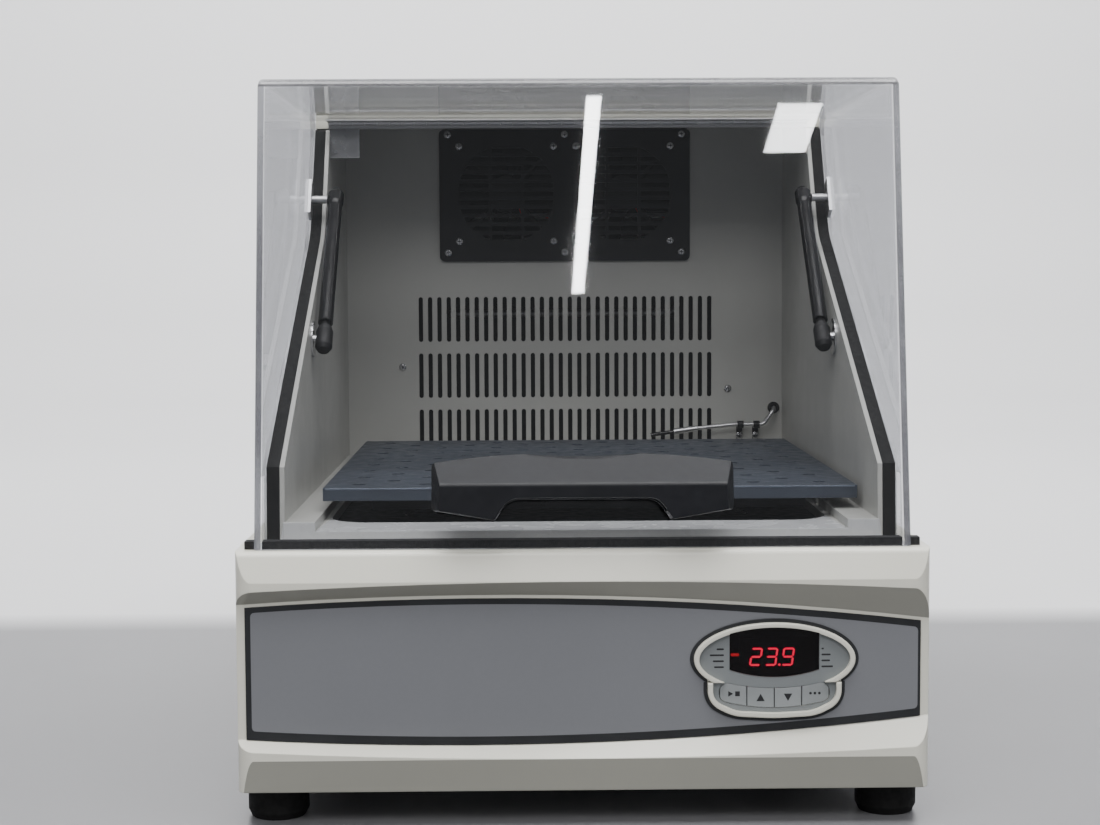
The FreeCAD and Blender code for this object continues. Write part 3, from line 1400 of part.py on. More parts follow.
def make_struts():
    socket = size.socket_radius
    reach = size.low_socket_reach
    body_start = reach + size.strut_rod_shown
    body_end = strut_length - size.high_socket_reach * 0.8
    brackets = []
    low_studs = []
    for side, name in ((-1, "left"), (1, "right")):
        low = strut_low + RIGHT * side * size.strut_x
        high = strut_high + RIGHT * side * size.strut_x
        outward = RIGHT * side
        base = lathe([(0, -reach), (socket * 0.7, -reach), (socket, -reach * 0.7),
                      (socket, reach * 0.6), (socket * 0.8, reach), (0, reach)], low, strut_way)
        bar = lathe([(0, 0), (size.strut_rod_radius, 0),
                     (size.strut_rod_radius, body_start + size.strut_rod_hidden),
                     (0, body_start + size.strut_rod_hidden)], low, strut_way)
        bore = Part.makeCylinder(size.stud_radius + size.running_gap, 2 * socket,
                                 low - outward * socket / 2, outward)
        keep(solid(f"strut_{name}_rod", base.fuse(bar).cut(bore).removeSplitter()))

        top_reach = size.high_socket_reach
        barrel = lathe([(0, body_start), (size.strut_radius, body_start),
                        (size.strut_radius, body_end), (0, body_end)], low, strut_way)
        cap = lathe([(0, -top_reach), (socket * 0.85, -top_reach), (socket, -top_reach * 0.5),
                     (socket, top_reach * 0.6), (socket * 0.7, top_reach), (0, top_reach)],
                    high, strut_way)
        room = lathe([(0, body_start - size.cut_over),
                      (size.strut_rod_radius + size.running_gap, body_start - size.cut_over),
                      (size.strut_rod_radius + size.running_gap,
                       body_start + size.strut_rod_hidden + size.fit_gap),
                      (0, body_start + size.strut_rod_hidden + size.fit_gap)], low, strut_way)
        keep(solid(f"strut_{name}_cylinder", barrel.fuse(cap).cut(room).removeSplitter()))

        wall_x = side * liner_inner
        disc = Part.makeCylinder(size.stud_disc_radius, size.stud_disc_thickness,
                                 Vector(wall_x, low.y, low.z), -outward)
        pin_length = liner_inner - size.strut_x + socket / 2 - size.fit_gap
        pin = Part.makeCylinder(size.stud_radius, pin_length, Vector(wall_x, low.y, low.z), -outward)
        low_studs.append(disc.fuse(pin))

        lid_wall = side * (half_lid - size.lid_sheet)
        plate_half = size.bracket_depth / 2
        plate = box_at((-size.bracket_thickness / 2, -plate_half, -size.bracket_height / 2),
                       (size.bracket_thickness / 2, plate_half, size.bracket_height / 2))
        lean = math.degrees(math.atan2(size.steep_run, size.steep_rise))
        plate.rotate(Vector(), RIGHT, -lean)
        plate.translate(Vector(lid_wall - side * size.bracket_thickness / 2, high.y, high.z))
        stud_length = abs(lid_wall) - size.strut_x - socket - size.fit_gap
        stud = Part.makeCylinder(size.stud_radius, stud_length, Vector(lid_wall, high.y, high.z), -outward)
        brackets.append(plate.fuse(stud).removeSplitter())
    keep(solid("strut_lower_studs", Part.makeCompound(low_studs)))
    keep(solid("lid_brackets", Part.makeCompound(brackets)))


def make_tab():
    thickness = size.lid_sheet / 2
    side = 10 * size.bracket_thickness
    left = -liner_inner
    at = front + size.roof_front_setback - size.hinge_leaf
    upright = box_at((left, at - thickness, rail_low - side), (left + side, at, rail_low - size.fit_gap))
    keep(solid("stop_tab", upright))


make_struts()
make_tab()

orbit_y = front + size.orbit_setback
ORBIT = f"({FRONT} + orbit_setback)"
CARRIER_TOP = "(carrier_low + carrier_thickness)"
crank_spots = {
    "main": (0.0, orbit_y),
    "left": (-size.idler_x, orbit_y - size.idler_forward),
    "right": (size.idler_x, orbit_y - size.idler_forward),
}


def make_platform():
    platform = body("platform")
    square = outline(platform, "platform_outline", "XY_Plane",
                     rectangle("-platform_size / 2", "-platform_size / 2",
                               "platform_size / 2", "platform_size / 2"))
    pad(platform, "platform_pad", square, "platform_lip")
    inside = "(platform_size / 2 - platform_sheet)"
    hollow = outline(platform, "platform_hollow", "XY_Plane",
                     rectangle(f"-{inside}", f"-{inside}", inside, inside),
                     "platform_lip - platform_sheet")
    pocket(platform, "platform_underside", hollow, "platform_lip")
    for name, columns in (("platform_holes", HOLE_COLUMNS), ("platform_between", HOLE_COLUMNS - 1)):
        start = f"-{(columns - 1) / 2} * hole_pitch"
        ring = circles(platform, name + "_first", "XY_Plane", "hole_radius", [(start, start)])
        first = pocket(platform, name + "_cut", ring)
        grid(platform, name, first, ring, ("hole_pitch", "hole_pitch"), columns, columns)
    place(platform, ("orbit_radius", ORBIT, "platform_top - platform_lip"))
    keep(platform)

    carrier = body("carrier_plate")
    square = outline(carrier, "carrier_outline", "XY_Plane",
                     rectangle("-carrier_size / 2", "-carrier_size / 2",
                               "carrier_size / 2", "carrier_size / 2"))
    pad(carrier, "carrier_pad", square, "carrier_thickness")
    main_bore = circles(carrier, "carrier_main_bore", "XY_Plane",
                        "crank_pin_radius + running_gap", [("0", "0")])
    pocket(carrier, "carrier_main_cut", main_bore)
    idler_bores = circles(carrier, "carrier_idler_bores", "XY_Plane",
                          "idler_pin_radius + running_gap",
                          [("-idler_x", "-idler_forward"), ("idler_x", "-idler_forward")])
    pocket(carrier, "carrier_idler_cut", idler_bores)
    place(carrier, ("orbit_radius", ORBIT, "carrier_low"))
    keep(carrier)

    posts = []
    for side in (-1, 1):
        for end in (-1, 1):
            reach = "(carrier_size / 2 - post_inset)"
            x = f"orbit_radius + {side} * {reach}"
            y = f"{ORBIT} + {end} * {reach}"
            name = f"post_{'left' if side < 0 else 'right'}_{'front' if end < 0 else 'back'}"
            posts.append(rod(name, "post_radius",
                             f"platform_top - platform_sheet - {CARRIER_TOP}", (x, y, CARRIER_TOP)))
    keep(gather("platform_posts", posts))


def make_tray():
    clear = size.fit_gap
    low = size.floor_height - size.well_depth - size.tray_sheet
    lip_out = size.well_half_width + 4 * size.liner_sheet
    tray = rounded_box(lip_out, size.well_front_setback - 4 * size.liner_sheet,
                       size.well_back_setback + 4 * size.liner_sheet, size.well_radius,
                       low, low + size.tray_sheet)
    tools = []
    for name, (x, y) in crank_spots.items():
        radius = size.crank_web_radius if name == "main" else size.idler_web_radius
        tools.append(Part.makeCylinder(radius + 10 * clear, 2 * size.well_depth,
                                       Vector(x, y, low - clear), UP))
    keep(solid("deck_tray", tray.cut(Part.makeCompound(tools))))


def make_cranks():
    web_top = "(crank_web_low + crank_web_thickness)"
    shaft = rod("crank_shaft_bar", "shaft_radius", "crank_web_low - shaft_low", ("0", ORBIT, "shaft_low"))
    web = rod("crank_shaft_web", "crank_web_radius", "crank_web_thickness", ("0", ORBIT, "crank_web_low"))
    pin = rod("crank_shaft_pin", "crank_pin_radius", f"{CARRIER_TOP} - {web_top}",
              ("orbit_radius", ORBIT, web_top))
    keep(join("crank_shaft", [shaft, web, pin]))

    for name, sign in (("left", -1), ("right", 1)):
        x = f"{sign} * idler_x"
        y = f"{ORBIT} - idler_forward"
        low = "(frame_low + frame_thickness + cabinet_sheet)"
        pieces = [
            rod(f"idler_{name}_bar", "idler_shaft_radius", f"crank_web_low - {low}", (x, y, low)),
            rod(f"idler_{name}_web", "idler_web_radius", "crank_web_thickness", (x, y, "crank_web_low")),
            rod(f"idler_{name}_pin", "idler_pin_radius", f"{CARRIER_TOP} - {web_top}",
                (f"{x} + orbit_radius", y, web_top)),
        ]
        keep(join(f"idler_crank_{name}", pieces))

    disc = rod("counterweight_disc", "weight_radius", "weight_thickness", ("0", ORBIT, "weight_low"))
    hub = rod("counterweight_hub", "2 * shaft_radius", "weight_thickness", ("0", ORBIT, "weight_low"))
    half = block("counterweight_half", ("weight_radius + cut_over", "2 * weight_radius + 2 * cut_over",
                                        "weight_thickness + 2 * cut_over"),
                 ("0", f"{ORBIT} - weight_radius - cut_over", "weight_low - cut_over"))
    lobe = cut("counterweight_lobe", disc, [half])
    bore = rod("counterweight_bore", "shaft_radius", "weight_thickness + 2 * cut_over",
               ("0", ORBIT, "weight_low - cut_over"))
    keep(cut("counterweight", join("counterweight_blank", [lobe, hub]), [bore]))

    pulley = turned("driven_pulley", [
        ("shaft_radius", "0"), ("pulley_radius + pulley_flange", "0"),
        ("pulley_radius + pulley_flange", "pulley_flange"), ("pulley_radius", "pulley_flange"),
        ("pulley_radius", "pulley_width - pulley_flange"),
        ("pulley_radius + pulley_flange", "pulley_width - pulley_flange"),
        ("pulley_radius + pulley_flange", "pulley_width"), ("shaft_radius", "pulley_width"),
    ], ("0", ORBIT, "pulley_low"))
    keep(pulley)


def make_frame():
    low = size.frame_low
    high = low + size.frame_thickness
    plate = box_at((-size.frame_half_width, orbit_y - size.frame_half_depth, low),
                   (size.frame_half_width, orbit_y + size.frame_half_depth, high))
    pieces = [plate]
    ground = size.foot_height + size.pan_floor
    leg = size.frame_leg
    for side in (-1, 1):
        for end in (-1, 1):
            x = side * (size.frame_half_width - leg / 2)
            y = orbit_y + end * (size.frame_half_depth - leg / 2)
            pieces.append(box_at((x - leg / 2, y - leg / 2, ground), (x + leg / 2, y + leg / 2, low)))
    tools = []
    for name, (x, y) in crank_spots.items():
        main = name == "main"
        housing = size.housing_radius if main else size.idler_housing_radius
        bearing = size.bearing_outer if main else size.idler_bearing_outer
        shaft = size.shaft_radius if main else size.idler_shaft_radius
        pieces.append(Part.makeCylinder(housing, size.housing_top - high, Vector(x, y, high), UP))
        pocket_low = high if main else high + size.cabinet_sheet
        tools.append(Part.makeCylinder(bearing, size.roof_height, Vector(x, y, pocket_low), UP))
        if main:
            tools.append(Part.makeCylinder(shaft + size.cabinet_sheet, size.frame_thickness * 2,
                                           Vector(x, y, low - size.cut_over), UP))
    frame = pieces[0].fuse(pieces[1:]).cut(Part.makeCompound(tools))
    keep(solid("drive_frame", frame.removeSplitter()))

    rings = []
    for name, (x, y) in crank_spots.items():
        main = name == "main"
        outer = size.bearing_outer if main else size.idler_bearing_outer
        inner = (size.shaft_radius if main else size.idler_shaft_radius) + size.running_gap
        start = high if main else high + size.cabinet_sheet
        for z in (start, size.housing_top - size.bearing_width):
            ring = Part.makeCylinder(outer, size.bearing_width, Vector(x, y, z), UP)
            rings.append(ring.cut(Part.makeCylinder(inner, size.bearing_width, Vector(x, y, z), UP)))
    keep(solid("crank_bearings", Part.makeCompound(rings)))


def make_motor():
    x = "motor_x"
    y = f"({ORBIT} + motor_spacing)"
    ground = "(foot_height + pan_floor)"
    grip = f"(motor_top - {ground} - motor_shaft_grip)"
    case = turned("drive_motor", [
        ("0", "0"), ("motor_radius", "0"), ("motor_radius", f"motor_top - {ground}"),
        ("motor_shaft_radius + running_gap", f"motor_top - {ground}"),
        ("motor_shaft_radius + running_gap", grip), ("0", grip),
    ], (x, y, ground))
    keep(case)
    pulley_top = f"(pulley_low + pulley_width - {ground})"
    start = f"({grip} + fit_gap)"
    spool = turned("motor_pulley", [
        ("0", start), ("motor_shaft_radius", start),
        ("motor_shaft_radius", f"pulley_low - {ground}"),
        ("motor_pulley_radius + pulley_flange", f"pulley_low - {ground}"),
        ("motor_pulley_radius + pulley_flange", f"pulley_low + pulley_flange - {ground}"),
        ("motor_pulley_radius", f"pulley_low + pulley_flange - {ground}"),
        ("motor_pulley_radius", f"{pulley_top} - pulley_flange"),
        ("motor_pulley_radius + pulley_flange", f"{pulley_top} - pulley_flange"),
        ("motor_pulley_radius + pulley_flange", pulley_top),
        ("0", pulley_top),
    ], (x, y, ground))
    keep(spool)

    motor = Vector(size.motor_x, orbit_y + size.motor_spacing, 0)
    crank = Vector(0, orbit_y, 0)
    gap = size.fit_gap
    low = size.pulley_low + (size.pulley_width - size.belt_width) / 2
    outer = belt_face(crank, size.pulley_radius + gap + size.belt_thickness,
                      motor, size.motor_pulley_radius + gap + size.belt_thickness)
    inner = belt_face(crank, size.pulley_radius + gap, motor, size.motor_pulley_radius + gap)
    belt = outer.cut(inner).extrude(UP * size.belt_width)
    belt.translate(UP * low)
    keep(solid("drive_belt", belt))


def belt_face(first, first_radius, second, second_radius):
    """The area inside a belt that is stretched round two circles."""
    line = second - first
    way = line * (1 / line.Length)
    side = Vector(-way.y, way.x, 0)
    sine = (first_radius - second_radius) / line.Length
    cosine = math.sqrt(1 - sine ** 2)
    touches = []
    for sign in (1, -1):
        normal = way * sine + side * (cosine * sign)
        touches.append((first + normal * first_radius, second + normal * second_radius))
    (first_a, second_a), (first_b, second_b) = touches
    edges = [
        Part.LineSegment(first_a, second_a).toShape(),
        arc_through(second_a, second + way * second_radius, second_b),
        Part.LineSegment(second_b, first_b).toShape(),
        arc_through(first_b, first - way * first_radius, first_a),
    ]
    return Part.Face(Part.Wire(edges))


make_platform()
make_tray()
make_cranks()
make_frame()
make_motor()


def make_electrics():
    half_width = size.inlet_width / 2
    half_tall = size.inlet_tall / 2
    flange = box_at((size.inlet_x - half_width, rear, size.inlet_height - half_tall),
                    (size.inlet_x + half_width, rear + size.rear_trim, size.inlet_height + half_tall))
    inset = size.cabinet_sheet + size.fit_gap
    barrel = box_at((size.inlet_x - half_width + inset, rear - size.inlet_depth,
                     size.inlet_height - half_tall + inset),
                    (size.inlet_x + half_width - inset, rear, size.inlet_height + half_tall - inset))
    socket_half = size.inlet_socket_width / 2
    socket_tall = size.inlet_socket_tall / 2
    mouth = rear + size.rear_trim
    floor_at = mouth - size.inlet_socket_depth
    socket = box_at((size.inlet_x - socket_half, floor_at, size.inlet_height - socket_tall),
                    (size.inlet_x + socket_half, mouth + size.cut_over, size.inlet_height + socket_tall))
    pins = []
    blade = size.cabinet_sheet
    for x_share, z_share in INLET_PIN_SHARES:
        x = size.inlet_x + x_share * size.inlet_socket_width
        z = size.inlet_height + z_share * size.inlet_socket_tall
        pins.append(box_at((x - blade / 2, floor_at - blade, z - blade),
                           (x + blade / 2, floor_at + size.inlet_pin_length, z + blade)))
    keep(solid("power_inlet", flange.fuse(barrel).cut(socket).fuse(pins).removeSplitter()))

    half = size.rocker_width / 2
    tall = size.rocker_tall / 2
    rim = size.cabinet_sheet
    x = size.switch_x
    z = size.inlet_height
    outer = box_at((x - half - 2 * rim, rear, z - tall - 2 * rim),
                   (x + half + 2 * rim, rear + rim / 2, z + tall + 2 * rim))
    sleeve = box_at((x - half - rim + size.fit_gap, rear - size.inlet_depth * 0.7,
                     z - tall - rim + size.fit_gap),
                    (x + half + rim - size.fit_gap, rear, z + tall + rim - size.fit_gap))
    room = box_at((x - half - size.fit_gap, rear - size.inlet_depth * 0.5, z - tall - size.fit_gap),
                  (x + half + size.fit_gap, rear + size.cut_over, z + tall + size.fit_gap))
    axle_at = Vector(x - half - rim / 2, rear - rim * 2, z)
    axle = Part.makeCylinder(rim / 2, size.rocker_width + rim, axle_at, RIGHT)
    keep(solid("switch_frame", outer.fuse(sleeve).cut(room).fuse(axle).removeSplitter()))

    slope = math.tan(math.radians(size.rocker_angle))
    shown = rim * 0.9
    face_at = rear + shown / 2
    dip = slope * tall * 0.9
    points = [
        Vector(x - half, face_at, z + tall * 0.9), Vector(x - half, face_at - dip, z),
        Vector(x - half, face_at - dip * 1.5, z - tall * 0.9),
        Vector(x - half, rear - rim * 4, z - tall * 0.8),
        Vector(x - half, rear - rim * 4, z + tall * 0.8),
    ]
    wedge = prism(Part.makePolygon(points + points[:1]), RIGHT * size.rocker_width)
    hole = Part.makeCylinder(rim / 2 + size.running_gap, size.rocker_width + 2 * rim,
                             Vector(x - half - rim, axle_at.y, z), RIGHT)
    keep(solid("switch_rocker", wedge.cut(hole)))

    ground = size.foot_height + size.pan_floor
    long = size.board_long
    spacer = 2 * size.board_standoff
    board_x = size.frame_half_width + size.board_standoff
    wide = half_body - size.cabinet_sheet - size.fit_gap - size.board_standoff - board_x
    low = ground + spacer
    start = rear - size.deck_back - long
    pieces = [box_at((board_x, start, low), (board_x + wide, start + long, low + size.board_thickness))]
    for x_step in (0.06, 0.94):
        for y_step in (0.06, 0.94):
            pieces.append(Part.makeCylinder(size.board_standoff / 2, spacer, Vector(
                board_x + wide * x_step, start + long * y_step, ground), UP))
    top = low + size.board_thickness
    for x_share, y_share, width_share, depth_share, rise_share in BOARD_SHARES:
        pieces.append(box_at(
            (board_x + wide * x_share, start + long * y_share, top),
            (board_x + wide * (x_share + width_share), start + long * (y_share + depth_share),
             top + long * rise_share)))
    keep(solid("control_board", pieces[0].fuse(pieces[1:]).removeSplitter()))

    core = size.transformer_long
    left = -half_body + size.cabinet_sheet + size.board_standoff * 2
    back = rear - size.deck_back
    base = box_at((left, back - core, ground), (left + core * 0.6, back, ground + size.board_thickness * 2))
    iron = box_at((left, back - core * 0.85, ground), (left + core * 0.6, back - core * 0.15,
                                                       ground + core * 0.75))
    coil = box_at((left - size.board_standoff, back - core * 0.7, ground + core * 0.14),
                  (left + core * 0.6 + size.board_standoff, back - core * 0.3, ground + core * 0.61))
    keep(solid("transformer", base.fuse([iron, coil]).removeSplitter()))


# The inlet's three pins, as shares of the socket's width and height from its middle.
INLET_PIN_SHARES = ((-0.29, -0.125), (0, 0.25), (0.29, -0.125))

# Parts on the control board, as shares of its width, length, width, length and length.
BOARD_SHARES = (
    (0.1, 0.1, 0.35, 0.22, 0.12),
    (0.55, 0.12, 0.3, 0.12, 0.08),
    (0.15, 0.45, 0.6, 0.1, 0.05),
    (0.2, 0.65, 0.25, 0.25, 0.16),
    (0.55, 0.7, 0.3, 0.2, 0.1),
)


def screw(at, way):
    """A pan head, low and slightly crowned, seated on a face."""
    radius = size.screw_head_radius
    rise = size.screw_head_height
    return lathe([(0, 0), (radius, 0), (radius, rise * 0.5), (radius * 0.7, rise * 0.9),
                  (0, rise)], at, way)


def make_screws():
    heads = []
    plate_face = wall_at - size.fan_plate_thickness
    plate_half = size.fan_spacing
    plate_low = size.fan_plate_low + 2.5 * size.screw_head_radius
    plate_high = size.fan_plate_high - 1.5 * size.screw_head_radius
    for x in (-plate_half, 0, plate_half):
        for z in (plate_low, plate_high):
            heads.append(screw(Vector(x, plate_face, z), -BACK))
    for side in (-1, 1):
        for dx in (-1, 1):
            for dz in (-1, 1):
                heads.append(screw(Vector(
                    side * size.fan_spacing / 2 + dx * size.fan_hole_pitch / 2, plate_face,
                    size.fan_axis_height + dz * size.fan_hole_pitch / 2), -BACK))
    slot_top = size.slot_first_row + size.slot_row_pitch
    wall_x = size.slot_pitch * (SLOT_COLUMNS + 3) / 2
    heads.append(screw(Vector(-wall_x, wall_at, slot_top + 2.5 * size.screw_head_radius), -BACK))
    heads.append(screw(Vector(wall_x, wall_at, slot_top - 4 * size.screw_head_radius), -BACK))
    for x in (size.probe_clip_left_x, size.probe_clip_right_x):
        heads.append(screw(Vector(x, wall_at - size.liner_sheet,
                                  size.probe_clip_height - 6 * size.probe_radius), -BACK))
    keep(solid("chamber_screws", Part.makeCompound(heads)))

    rows = []
    for side in (-1, 1):
        x = side * (size.cabinet_width / 2 - 3 * size.screw_head_radius)
        for z in (size.base_top + 5 * size.screw_head_radius, (size.base_top + size.roof_height) / 2,
                  size.roof_height - 5 * size.screw_head_radius):
            rows.append(screw(Vector(x, rear, z), BACK))
    panel_x = size.body_width / 2 - 4 * size.screw_head_radius
    for x in (-panel_x, 0, panel_x):
        for z in (size.foot_height + 3 * size.screw_head_radius,
                  size.base_top - 4 * size.screw_head_radius):
            rows.append(screw(Vector(x, rear, z), BACK))
    keep(solid("rear_screws", Part.makeCompound(rows)))


make_electrics()
make_screws()

doc.recompute()
for item in doc.Objects:
    if "Invalid" in item.State or "Error" in item.State:
        raise RuntimeError(f"{item.Name} failed: {item.State}")
names = [item.Label for item in nodes]
if len(set(names)) != len(names) or len(names) > 60:
    raise RuntimeError(f"{len(names)} sub-parts, {len(set(names))} names")
for item in nodes:
    if item.Shape.isNull() or not item.Shape.isValid() or not item.Shape.Solids:
        raise RuntimeError(f"{item.Label} has no valid solid")

os.makedirs("parts", exist_ok=True)
for item in nodes:
    item.Shape.exportStep(f"parts/{item.Label}.step")
print(len(nodes), "sub-parts,", sum(len(item.Shape.Solids) for item in nodes), "solids")
low = [min(getattr(item.Shape.BoundBox, side) for item in nodes) for side in ("XMin", "YMin", "ZMin")]
high = [max(getattr(item.Shape.BoundBox, side) for item in nodes) for side in ("XMax", "YMax", "ZMax")]
print("box", [round(value, 2) for value in low], [round(value, 2) for value in high])
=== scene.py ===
import math

import bmesh
import bpy
from mathutils import Matrix, Vector


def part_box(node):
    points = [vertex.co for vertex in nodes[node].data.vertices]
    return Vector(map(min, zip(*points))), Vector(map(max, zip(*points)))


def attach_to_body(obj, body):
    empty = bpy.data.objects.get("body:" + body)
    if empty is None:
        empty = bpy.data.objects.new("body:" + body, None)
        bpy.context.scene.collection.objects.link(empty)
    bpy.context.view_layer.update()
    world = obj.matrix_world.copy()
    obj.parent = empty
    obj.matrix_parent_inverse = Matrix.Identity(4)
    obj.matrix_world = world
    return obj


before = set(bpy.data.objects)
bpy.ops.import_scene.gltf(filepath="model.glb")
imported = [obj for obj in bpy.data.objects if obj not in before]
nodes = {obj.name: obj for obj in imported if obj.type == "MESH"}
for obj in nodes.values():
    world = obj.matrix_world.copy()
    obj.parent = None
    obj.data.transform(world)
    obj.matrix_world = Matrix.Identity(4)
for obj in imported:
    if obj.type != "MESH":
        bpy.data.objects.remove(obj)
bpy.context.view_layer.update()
scene = bpy.context.scene


# Looks.

class Shader:
    """A Principled material with its node tree at hand."""

    def __init__(self, name, colour, roughness=0.4, metallic=0.0):
        self.material = bpy.data.materials.new(name)
        self.material.use_nodes = True
        self.tree = self.material.node_tree
        self.main = next(node for node in self.tree.nodes if node.type == "BSDF_PRINCIPLED")
        self.out = next(node for node in self.tree.nodes if node.type == "OUTPUT_MATERIAL")
        self.colour = (*colour, 1.0)
        self.main.inputs["Base Color"].default_value = self.colour
        self.main.inputs["Roughness"].default_value = roughness
        self.main.inputs["Metallic"].default_value = metallic
        self.last_colour = self.colour
        self.places = self.node("ShaderNodeTexCoord").outputs["Object"]

    def node(self, kind, **settings):
        made = self.tree.nodes.new(kind)
        for key, value in settings.items():
            setattr(made, key, value)
        return made

    def link(self, start, end):
        self.tree.links.new(start, end)

    def noise(self, scale, detail=4.0, stretch=None):
        """Noise with features of 1/scale metres, drawn out along an axis if asked."""
        places = self.places
        if stretch:
            mapping = self.node("ShaderNodeMapping")
            mapping.inputs["Scale"].default_value = stretch
            self.link(places, mapping.inputs["Vector"])
            places = mapping.outputs["Vector"]
        noise = self.node("ShaderNodeTexNoise")
        noise.inputs["Scale"].default_value = scale
        noise.inputs["Detail"].default_value = detail
        self.link(places, noise.inputs["Vector"])
        return noise.outputs["Fac"]

    def spread(self, source, low, high, out_low, out_high):
        """source between low and high, mapped to out_low and out_high."""
        ranged = self.node("ShaderNodeMapRange")
        ends = {"From Min": low, "From Max": high, "To Min": out_low, "To Max": out_high}
        for name, value in ends.items():
            ranged.inputs[name].default_value = value
        self.link(source, ranged.inputs["Value"])
        return ranged.outputs["Result"]

    def mix(self, amount, first, second):
        """Mixes two colours, each a socket or a colour, by a socket."""
        mixed = self.node("ShaderNodeMix", data_type="RGBA")
        self.link(amount, mixed.inputs["Factor"])
        for value, name in ((first, "A"), (second, "B")):
            socket = next(one for one in mixed.inputs if one.name == name and one.type == "RGBA")
            if isinstance(value, tuple):
                socket.default_value = (*value[:3], 1.0)
            else:
                self.link(value, socket)
        return next(one for one in mixed.outputs if one.type == "RGBA")

    def vary(self, scale, amount, low=0.35, high=0.65):
        """Lets the colour drift a little lighter and darker over the surface."""
        shift = self.spread(self.noise(scale), low, high, 0.0, 1.0)
        darker = tuple(value * (1.0 - amount) for value in self.colour[:3])
        lighter = tuple(min(value * (1.0 + amount), 1.0) for value in self.colour[:3])
        self.paint(self.mix(shift, darker, lighter))
        return self

    def paint(self, socket):
        """Takes the base colour from a socket."""
        self.link(socket, self.main.inputs["Base Color"])
        self.last_colour = socket

    def rough(self, scale, low, high, stretch=None):
        """Lets the roughness wander between two values."""
        source = self.noise(scale, 5.0, stretch)
        self.link(self.spread(source, 0.3, 0.7, low, high), self.main.inputs["Roughness"])
        return self

    def bump(self, scale, depth, detail=3.0, stretch=None):
        """A fine relief of the given depth in metres."""
        bump = self.node("ShaderNodeBump")
        bump.inputs["Distance"].default_value = depth
        bump.inputs["Strength"].default_value = 1.0
        self.link(self.noise(scale, detail, stretch), bump.inputs["Height"])
        if self.main.inputs["Normal"].is_linked:
            self.link(self.main.inputs["Normal"].links[0].from_socket, bump.inputs["Normal"])
        self.link(bump.outputs["Normal"], self.main.inputs["Normal"])
        return self

    def edges(self, radius, colour, width=0.5):
        """Paints sharp edges in a lighter colour, as a painted highlight; on the platform it also
        stands for rubbed wear.
        """
        bevel = self.node("ShaderNodeBevel", samples=4)
        bevel.inputs["Radius"].default_value = radius
        geometry = self.node("ShaderNodeNewGeometry")
        dot = self.node("ShaderNodeVectorMath", operation="DOT_PRODUCT")
        self.link(bevel.outputs["Normal"], dot.inputs[0])
        self.link(geometry.outputs["Normal"], dot.inputs[1])
        amount = self.spread(dot.outputs["Value"], 0.98, 0.75, 0.0, width)
        self.paint(self.mix(amount, self.last_colour, colour))
        return self

    def soften(self, radius):
        """Rounds the look of sharp edges by a small radius."""
        bevel = self.node("ShaderNodeBevel", samples=4)
        bevel.inputs["Radius"].default_value = radius
        normal = self.main.inputs["Normal"]
        if normal.is_linked:
            self.link(bevel.outputs["Normal"], normal.links[0].from_node.inputs["Normal"])
        else:
            self.link(bevel.outputs["Normal"], normal)
        return self

    def set(self, **values):
        """Sets inputs of the Principled node by name, with _ for a space."""
        for name, value in values.items():
            self.main.inputs[name.replace("_", " ")].default_value = value
        return self


def cream_gloss(name="cream_moulding", colour=(0.70, 0.685, 0.60)):
    """Pearl-cream moulded plastic with a clear coat and a very fine orange peel."""
    shader = Shader(name, colour, 0.34)
    shader.vary(9.0, 0.02)
    shader.rough(60.0, 0.30, 0.40)
    shader.bump(900.0, 0.00002)
    shader.soften(0.0012)
    return shader.set(Coat_Weight=0.35, Coat_Roughness=0.18).material


def cream_panel():
    shader = Shader("cream_panel", (0.62, 0.61, 0.53), 0.45)
    shader.vary(7.0, 0.02)
    shader.rough(40.0, 0.40, 0.52)
    shader.bump(1400.0, 0.00004)
    shader.soften(0.0010)
    return shader.set(Coat_Weight=0.15, Coat_Roughness=0.3).material


def liner_paint():
    shader = Shader("liner_paint", (0.44, 0.44, 0.415), 0.42)
    shader.vary(6.0, 0.03)
    shader.rough(35.0, 0.36, 0.50)
    shader.bump(1100.0, 0.00003)
    shader.soften(0.0008)
    return shader.set(Coat_Weight=0.2, Coat_Roughness=0.25).material


def sill_painted_highlight():
    """The liner's front sill is glossier than its walls, and painted lighter as a painted highlight.
    """
    shader = Shader("sill_painted_highlight", (0.58, 0.59, 0.60), 0.26)
    shader.vary(6.0, 0.03)
    shader.rough(35.0, 0.20, 0.32)
    shader.bump(1100.0, 0.00002)
    shader.soften(0.0008)
    return shader.set(Coat_Weight=0.3, Coat_Roughness=0.15).material


def platform_paint():
    """Blue-grey powder coat, lighter along its edges and holes: partly rubbed wear, partly painted
    highlight.
    """
    shader = Shader("platform_paint", (0.034, 0.042, 0.058), 0.42)
    shader.vary(18.0, 0.10)
    # Lighter edges and holes: rubbed wear and painted highlight.
    shader.edges(0.0006, (0.10, 0.12, 0.155), 0.5)
    shader.rough(90.0, 0.34, 0.52)
    shader.bump(1700.0, 0.00005)
    shader.soften(0.0008)
    return shader.material


def black_plastic(name="black_plastic", colour=(0.014, 0.014, 0.016), low=0.34, high=0.46):
    shader = Shader(name, colour, low)
    shader.vary(25.0, 0.12)
    shader.rough(120.0, low, high)
    shader.bump(2200.0, 0.00004)
    shader.soften(0.0006)
    return shader.set(Specular_IOR_Level=0.35).material


def handle_plastic():
    """The handle's black moulding has a fine grain and a cool sheen, with a painted highlight along
    its edges.
    """
    shader = Shader("handle_plastic", (0.006, 0.0065, 0.009), 0.40)
    shader.vary(30.0, 0.10)
    # Painted highlight along the handle's edges and ridge.
    shader.edges(0.0012, (0.06, 0.063, 0.07), 0.6)
    shader.rough(150.0, 0.36, 0.48)
    shader.bump(1800.0, 0.00008)
    shader.soften(0.0015)
    return shader.set(Specular_IOR_Level=0.32).material


